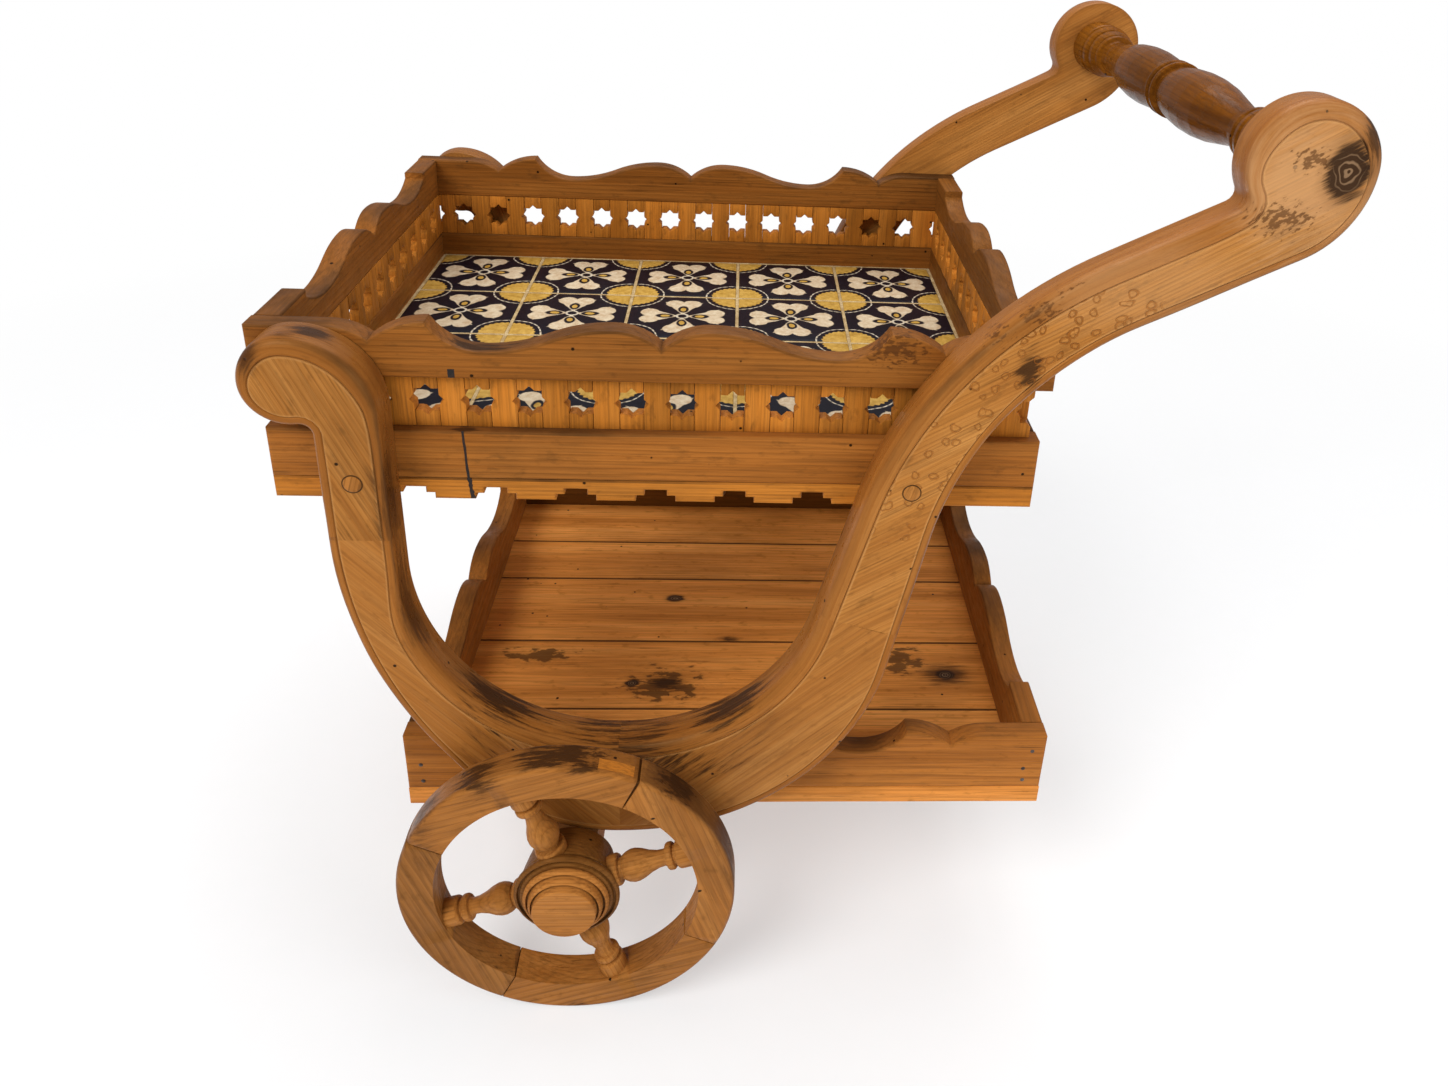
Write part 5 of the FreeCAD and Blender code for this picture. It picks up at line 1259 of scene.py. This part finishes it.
handle_profile = smooth_profile([(-along, radius) for along, radius in HANDLE_HALF[::-1]] + HANDLE_HALF[1:])
turned_piece("handle_bar_turned", handle_profile, (handle_low + handle_high) / 2, ALONG_Y, "cart", turned_wood,
             "handle_wood", "handle_bar")
print("handle profile has", len(handle_profile), "steps")

# %% [markdown]
# ## Wheels
# A wheel is a hub, four turned spokes and four curved felloes. The spokes stand round the hub
# at equal turns, so a Geometry Nodes tree copies one turning round a circle. The felloes keep
# the outline of their solids, with grain cut straight across each curved piece. Their joints
# are parted a hair and filled with dark glue, so that each shows as a line.

# %% Felloes with glued joints
SPOKES = 4
SPOKE_ANGLE = math.radians(19)
QUARTER = math.pi / 2
RIM_INNER, RIM_DEEP = 107 * MM, 30 * MM
TREAD_FROM, TREAD_FADE = 132 * MM, 5 * MM
TREAD_GRIME, TREAD_POLISH = 0.95, 0.6
OPEN_JOINT, SHUT_JOINT = 1.2 * MM, 0.3 * MM
# Turn, in radians, within which a point belongs to a joint
AT_JOINT, AT_OPEN_JOINT = 0.01, 0.02
# The open joint gapes less on the inside of the rim
GAPE_INSIDE = 0.4
# Where each felloe lay in its plank: apart along the grain, squeeze across it, and from the heart
FELLOE_APART, FELLOE_SQUEEZE, FELLOE_HEART = 1.7, 0.6, 0.06
# Tone of each felloe, each from its own plank; the third, on the side towards the cart's front end, is much
# darker as painted shade.
FELLOE_TONES_AND_SHADE = (0.05, 0.05, -1.2, -0.15)
GLUE_DEEP, GLUE_BITE = 2 * MM, 0.1 * MM
GLUE_TONE = -3.0


def copy_of(node, name):
    """Merged copy of a solid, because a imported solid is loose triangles."""
    mesh = nodes[node].data.copy()
    mesh.materials.clear()
    bm = bmesh.new()
    bm.from_mesh(mesh)
    bmesh.ops.remove_doubles(bm, verts=bm.verts, dist=SAME_POINT)
    bm.to_mesh(mesh)
    bm.free()
    mesh.name = name
    finish_faces(mesh)
    return new_object(name, mesh)


def glue_joints(mesh, middle, inner, outer, wide):
    """Dark old glue in the four joints, a little below the faces, so that no light shows through."""
    bm = bmesh.new()
    bm.from_mesh(mesh)
    tone = bm.verts.layers.float["tone"]
    for k in range(SPOKES):
        half = (OPEN_JOINT if k == 0 else SHUT_JOINT) + GLUE_BITE
        turn = Matrix.Rotation(-(SPOKE_ANGLE + (k + 0.5) * QUARTER), 4, "Y")
        size = Matrix.Diagonal((outer - inner - 2 * GLUE_DEEP, wide - 2 * GLUE_DEEP, 2 * half, 1))
        place = Matrix.Translation(middle) @ turn @ Matrix.Translation(((inner + outer) / 2, 0, 0)) @ size
        for vert in bmesh.ops.create_cube(bm, size=1, matrix=place)["verts"]:
            vert[tone] = GLUE_TONE
    bm.to_mesh(mesh)
    bm.free()


def wheel_rim(side):
    """Felloes with straight grain, each from its own plank. One joint has opened with age."""
    node = f"{side}_wheel_felloes"
    piece = copy_of(node, f"{node}_worn")
    low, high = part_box(node)
    middle = np.array((low + high) / 2)
    spots = points_of(piece.data) - middle
    reach = np.hypot(spots[:, 0], spots[:, 2])
    angle = np.arctan2(spots[:, 2], spots[:, 0])
    felloe = np.floor((angle - SPOKE_ANGLE) / QUARTER + 0.5) % SPOKES
    chord = (angle - (felloe * QUARTER + SPOKE_ANGLE) + math.pi) % (2 * math.pi) - math.pi
    outer = np.clip((reach - RIM_INNER) / RIM_DEEP, 0, 1)
    at_joint = np.abs(np.abs(chord) - QUARTER / 2) < AT_JOINT
    opened = np.abs(angle - SPOKE_ANGLE - QUARTER / 2) < AT_OPEN_JOINT
    parted = np.where(opened, OPEN_JOINT * (GAPE_INSIDE + (1 - GAPE_INSIDE) * outer), SHUT_JOINT)
    angle = angle - np.where(at_joint, np.sign(chord) * parted / reach, 0)
    shaped = np.stack([reach * np.cos(angle), spots[:, 1], reach * np.sin(angle)], 1) + middle
    piece.data.vertices.foreach_set("co", shaped.ravel())
    grain = [reach * np.sin(chord) + felloe * FELLOE_APART, reach * np.cos(chord) * FELLOE_SQUEEZE,
             spots[:, 1] + FELLOE_HEART]
    store(piece.data, "grain_at", np.stack(grain, 1))
    store(piece.data, "tone", np.array(FELLOE_TONES_AND_SHADE)[felloe.astype(int)])
    tread = np.clip((reach - TREAD_FROM) / TREAD_FADE, 0, 1)
    store(piece.data, "edge", tread * TREAD_GRIME)
    store(piece.data, "polish", tread * TREAD_POLISH)
    glue_joints(piece.data, (low + high) / 2, reach.min(), reach.max(), high.y - low.y)
    piece.data.materials.append(wheel_pine)
    return show(piece, f"{side}_wheel", node, slot="wheel_wood")


print("felloes are parted by a further", round(2 * OPEN_JOINT / MM, 1), "mm at the open joint and",
      round(2 * SHUT_JOINT / MM, 1), "mm at the others")

# %% A key in the open joint
KEY_FROM, KEY_TO, KEY_STEPS = math.radians(66), math.radians(78), 8
KEY_NEAR, KEY_FAR = 4 * MM, 14 * MM
KEY_PROUD, KEY_DEEP = 0.4 * MM, 3 * MM
KEY_TONE = 0.6


def strip(name, sections):
    """Closed strip through a row of four-cornered sections."""
    last = 4 * (len(sections) - 1)
    faces = [(0, 1, 3, 2), (last, last + 2, last + 3, last + 1)]
    for k in range(0, last, 4):
        faces += [(k, k + 4, k + 5, k + 1), (k + 2, k + 3, k + 7, k + 6), (k, k + 2, k + 6, k + 4),
                  (k + 1, k + 5, k + 7, k + 3)]
    return closed_mesh(name, [corner for section in sections for corner in section], faces)


def rim_key(side, sign):
    """Small pale block let into the tread to hold the open joint."""
    low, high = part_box(f"{side}_wheel_felloes")
    middle, reach = (low + high) / 2, (high.x - low.x) / 2
    face = high.y if sign > 0 else low.y
    sections = []
    for angle in np.linspace(KEY_FROM, KEY_TO, KEY_STEPS + 1):
        across, up = math.cos(angle), math.sin(angle)
        sections.append([(middle.x + radius * across, face - sign * inset, middle.z + radius * up)
                         for radius in (reach - KEY_DEEP, reach + KEY_PROUD) for inset in (KEY_NEAR, KEY_FAR)])
    mesh = strip(f"{side}_rim_key", sections)
    finish_faces(mesh)
    lay_grain(mesh, ALONG_X, KEY_TONE)
    mesh.materials.append(star_pine)
    return show(new_object(mesh.name, mesh), f"{side}_wheel", slot="wheel_wood")


print("the key is", round((KEY_FAR - KEY_NEAR) / MM), "mm wide")

# %% Hub, cap and felloes of both wheels
HUB_PROFILE = [(0, 0), (0, 33.2), (0.8, 34), (12, 36.6), (24, 38.8), (31, 39.8), (32.4, 39.4), (32.9, 36.6),
               (34.6, 36.6), (35.2, 40.4), (36.2, 42.4), (37.6, 43), (39.4, 43), (40.8, 42), (41.4, 40.4),
               (39.2, 39.4), (39.2, 38.2), (41.6, 37.4), (42, 36.4), (42, 0)]
CAP_PROFILE = [(0, 0), (0, 34.4), (1.2, 35), (3, 35), (4.8, 33.8), (5.4, 32.2), (3, 31.4), (3, 30.4),
               (6, 30.2), (9, 29.8), (10.6, 28.8), (11, 27.6), (8.4, 27), (8.4, 26.2), (12, 26), (15.2, 25.8),
               (16, 25), (16, 0)]
# The hub's much darker tone is painted shade, for the barrel in the shade under the tray.
HUB_PAINTED_SHADE, CAP_TONE = -2.0, 0.8
for side, sign in SIDES:
    rim = wheel_rim(side)
    rim_key(side, sign)
    hub_low, hub_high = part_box(f"{side}_wheel_hub")
    centre = (hub_low + hub_high) / 2
    for part, profile, tone, node in (("hub", HUB_PROFILE, HUB_PAINTED_SHADE, f"{side}_wheel_hub"),
                                      ("cap", CAP_PROFILE, CAP_TONE, f"{side}_wheel_hub_cap")):
        low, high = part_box(node)
        centre.y = high.y if sign < 0 else low.y
        turned_piece(f"{side}_wheel_{part}_turned", smooth_profile(profile), centre, (0, sign, 0),
                     f"{side}_wheel", wheel_pine, "wheel_wood", node, tone, ALONG_X)
    print(side, "rim", len(rim.data.polygons), "faces, hub and cap turned")

# %% Spokes round the hub
SPOKE_PROFILE = [(-4, 0), (-4, 12), (1.5, 12.8), (5.4, 12.8), (7, 11.8), (7.4, 8.6), (9.6, 8.4), (10.4, 9.8),
                 (14, 11.8), (18, 12.9), (22, 12.8), (27, 11.4), (33, 8.8), (40, 6.9), (45, 6.6), (47.6, 7.6),
                 (48.2, 10.2), (49.6, 11), (52.4, 11), (53.6, 10.2), (54.2, 8), (56, 8), (56.8, 10.6),
                 (58.6, 11.6), (66, 11.8), (71, 11.8), (71, 0)]
SPOKE_FOOT = 38 * MM
SPOKE_TONES = (-0.9, 0.1)
ORIGIN = (0, 0, 0)


def ring_tree():
    """Copies of one shape round the Y axis, each with a tone of its own."""
    tree, sockets, given = new_tree("round_the_hub", Object=("Shape",), Int=("Count", "Seed"),
                                    Float=("Turn",), Material=("Wood",))
    line = add(tree, "GeometryNodeMeshLine", {"Count": given["Count"], "Offset": ORIGIN}).outputs[0]
    number = add(tree, "GeometryNodeInputIndex").outputs[0]
    share = add(tree, "ShaderNodeMath", {0: number, 1: given["Count"]}, operation="DIVIDE").outputs[0]
    angle = add(tree, "ShaderNodeMath", {0: share, 1: -2 * math.pi, 2: given["Turn"]},
                operation="MULTIPLY_ADD").outputs[0]
    euler = add(tree, "ShaderNodeCombineXYZ", {"Y": angle}).outputs[0]
    turn = add(tree, "FunctionNodeEulerToRotation", {0: euler}).outputs[0]
    shape = add(tree, "GeometryNodeObjectInfo", {"Object": given["Shape"]}).outputs["Geometry"]
    copies = add(tree, "GeometryNodeInstanceOnPoints", {"Points": line, "Instance": shape,
                                                        "Rotation": turn}).outputs[0]
    close_tree(tree, own_tone(tree, copies, *SPOKE_TONES, given["Seed"]), given["Wood"])
    return tree, sockets


ring_maker = ring_tree()
spoke_profile = smooth_profile(SPOKE_PROFILE) + [SPOKE_FOOT, 0]
for number, (side, _) in enumerate(SIDES):
    spoke = lathe("spoke", spoke_profile, ORIGIN, ALONG_X, SPOKE_SIDES)
    lay_grain(spoke, ALONG_X)
    groove_grime(spoke, spoke_profile, ORIGIN, ALONG_X)
    # The tree gives each spoke its tone
    spoke.attributes.remove(spoke.attributes["tone"])
    node = f"{side}_wheel_spokes"
    mesh = from_nodes(f"{node}_turned", *ring_maker,
                      {"Shape": new_object("spoke", spoke), "Count": SPOKES, "Turn": -SPOKE_ANGLE,
                       "Seed": number, "Wood": wheel_pine})
    low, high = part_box(node)
    mesh.transform(Matrix.Translation((low + high) / 2))
    finish_faces(mesh, SHARP_TURNING)
    show(new_object(f"{node}_turned", mesh), f"{side}_wheel", node, slot="wheel_wood")
    print(side, "wheel has", SPOKES, "spokes,", len(mesh.polygons), "faces")

# %% Caster wheel
caster_wheel = copy_of("caster_wheel", "caster_wheel_worn")
low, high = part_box("caster_wheel")
lay_grain(caster_wheel.data, ALONG_X, -0.1, origin=(low + high) / 2)
caster_wheel.data.materials.append(wheel_pine)
show(caster_wheel, "caster_roller", "caster_wheel", slot="caster_wood")
print("caster wheel has", len(caster_wheel.data.polygons), "faces")

# %% [markdown]
# ## Plugs, nails and a crack
# Wooden plugs hide the screws of the frames, a few cut nails show in the boards, and one board
# of the tray has cracked right down. Plugs and nail heads repeat, so they are laid on a list of
# points by one tree. The crack is a thin dark strip with a ragged edge, laid on the face as
# painted shade in place of an open gap; a nail hole is drawn the same way.

# %% Plugs and nails on points
PLUG_HEAD = [(-3, 0), (-3, 7.0), (0.12, 7.0), (0.14, 6.2), (0.45, 5.8), (0.6, 4.0), (0.65, 0)]
NAIL_HEAD = [(-1, 0), (-1, 1.8), (0.1, 1.8), (0.35, 1.2), (0.45, 0)]
PLUG_SIDES, NAIL_SIDES = 24, 10
HEAD_SIZES, HEAD_SEED = (0.9, 1.1), 3
PLUG_LIP, PLUG_GRIME = 0.3 * MM, 1.8
# Nails in the near side of the lower tray, x and z
NAIL_SPOTS = ((222.1, 196.2), (227.9, 215.9), (-299.0, 201.0), (-298.5, 183.0), (223.0, 183.0))


def spots_tree():
    """A head on each of a list of points, no two quite of one size."""
    tree, sockets, given = new_tree("heads_on_points", Object=("Points", "Head"), Int=("Seed",),
                                    Material=("Finish",))
    points, head = (add(tree, "GeometryNodeObjectInfo", {"Object": given[what]}).outputs["Geometry"]
                    for what in ("Points", "Head"))
    size = add(tree, "FunctionNodeRandomValue", {2: HEAD_SIZES[0], 3: HEAD_SIZES[1],
                                                 "Seed": given["Seed"]}).outputs[1]
    copies = add(tree, "GeometryNodeInstanceOnPoints", {"Points": points, "Instance": head,
                                                        "Scale": size}).outputs[0]
    close_tree(tree, copies, given["Finish"])
    return tree, sockets


def heads(name, profile, sides, axis, places, material):
    """One small turned head on each place, facing out along an axis."""
    spots = bpy.data.meshes.new(f"{name}_points")
    spots.from_pydata(places, [], [])
    head = lathe(f"{name}_head", np.array(profile) * MM, ORIGIN, axis, sides)
    mesh = from_nodes(name, *spots_maker, {"Points": new_object(f"{name}_points", spots),
                                           "Head": new_object(f"{name}_head", head), "Seed": HEAD_SEED,
                                           "Finish": material})
    finish_faces(mesh, SHARP_TURNING)
    return mesh


def plug_places(sign):
    """Middles of the plugs on one side, on the frame's face."""
    spots = points_of(nodes["frame_plugs"].data)
    spots = spots[spots[:, 1] * sign > 0]
    face = sign * np.abs(spots[:, 1]).max()
    front = spots[:, 0] < spots[:, 0].mean()
    middles = [(group.max(0) + group.min(0)) / 2 for group in (spots[front], spots[~front])]
    return [(x, face, z) for x, _, z in middles]


spots_maker = spots_tree()
both_sides = bmesh.new()
for side, sign in SIDES:
    one_side = heads(f"{side}_plugs", PLUG_HEAD, PLUG_SIDES, (0, sign, 0), plug_places(sign), wheel_pine)
    both_sides.from_mesh(one_side)
plugs = bpy.data.meshes.new("frame_plugs_waxed")
both_sides.to_mesh(plugs)
both_sides.free()
plugs.materials.append(wheel_pine)
lay_grain(plugs, (0.3, 0, 1), 0.15)
depth = np.abs(points_of(plugs)[:, 1])
store(plugs, "edge", np.where(depth > depth.max() - PLUG_LIP, 0.0, PLUG_GRIME))
show(new_object("frame_plugs_waxed", plugs), "cart", "frame_plugs", slot="frame_wood")

nail_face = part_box("left_shelf_side")[0].y
nails = heads("shelf_nails", NAIL_HEAD, NAIL_SIDES, (0, -1, 0),
              [(x * MM, nail_face, z * MM) for x, z in NAIL_SPOTS], dark_iron)
show(new_object("shelf_nails", nails), "cart", slot="steel")
print("plugs and", len(NAIL_SPOTS), "nails set")

# %% A cracked board
# Painted shade: the crack and the nail hole are near-black strips on the face, not cuts into the board.
painted_crack_shade = mottled("dark_crack", "#2a190d", "#120a05", 2 * MM, 0.9)
CRACK_PROUD, CRACK_DEEP = 0.15 * MM, 1 * MM
CRACK_STEPS = 9
crack_draw = random.Random(4)


def crack(name, node, x, top, bottom, wide, ragged=1.0, lean=1.5 * MM):
    """Thin ragged strip down the face of a board, from top to bottom."""
    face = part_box(node)[0].y
    sections = []
    for k in range(CRACK_STEPS + 1):
        down = k / CRACK_STEPS
        middle = x + crack_draw.uniform(-0.4, 0.4) * ragged * MM + lean * down
        half = wide / 2 * (1 + ragged * crack_draw.uniform(-0.35, 0.2))
        sections.append([(middle + along, y, top + (bottom - top) * down)
                         for along in (-half, half) for y in (face - CRACK_PROUD, face + CRACK_DEEP)])
    mesh = strip(name, sections)
    mesh.materials.append(painted_crack_shade)
    return show(new_object(name, mesh), "cart")


apron_low, apron_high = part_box("left_apron")
trim_low, trim_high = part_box("left_stepped_trim")
rail_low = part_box("left_top_rail")[0]
crack("apron_crack", "left_apron", -0.2395, apron_high.z, apron_low.z, 1.9 * MM, 0.5)
crack("trim_crack", "left_stepped_trim", -0.2375, trim_high.z, trim_low.z + 1 * MM, 3.2 * MM)
crack("rail_nail_hole", "left_top_rail", -0.2440, rail_low.z + 7.5 * MM, rail_low.z + 0.8 * MM, 5 * MM, 0.2, 0)
print("crack runs", round((apron_high.z - trim_low.z) / MM), "mm down the board")
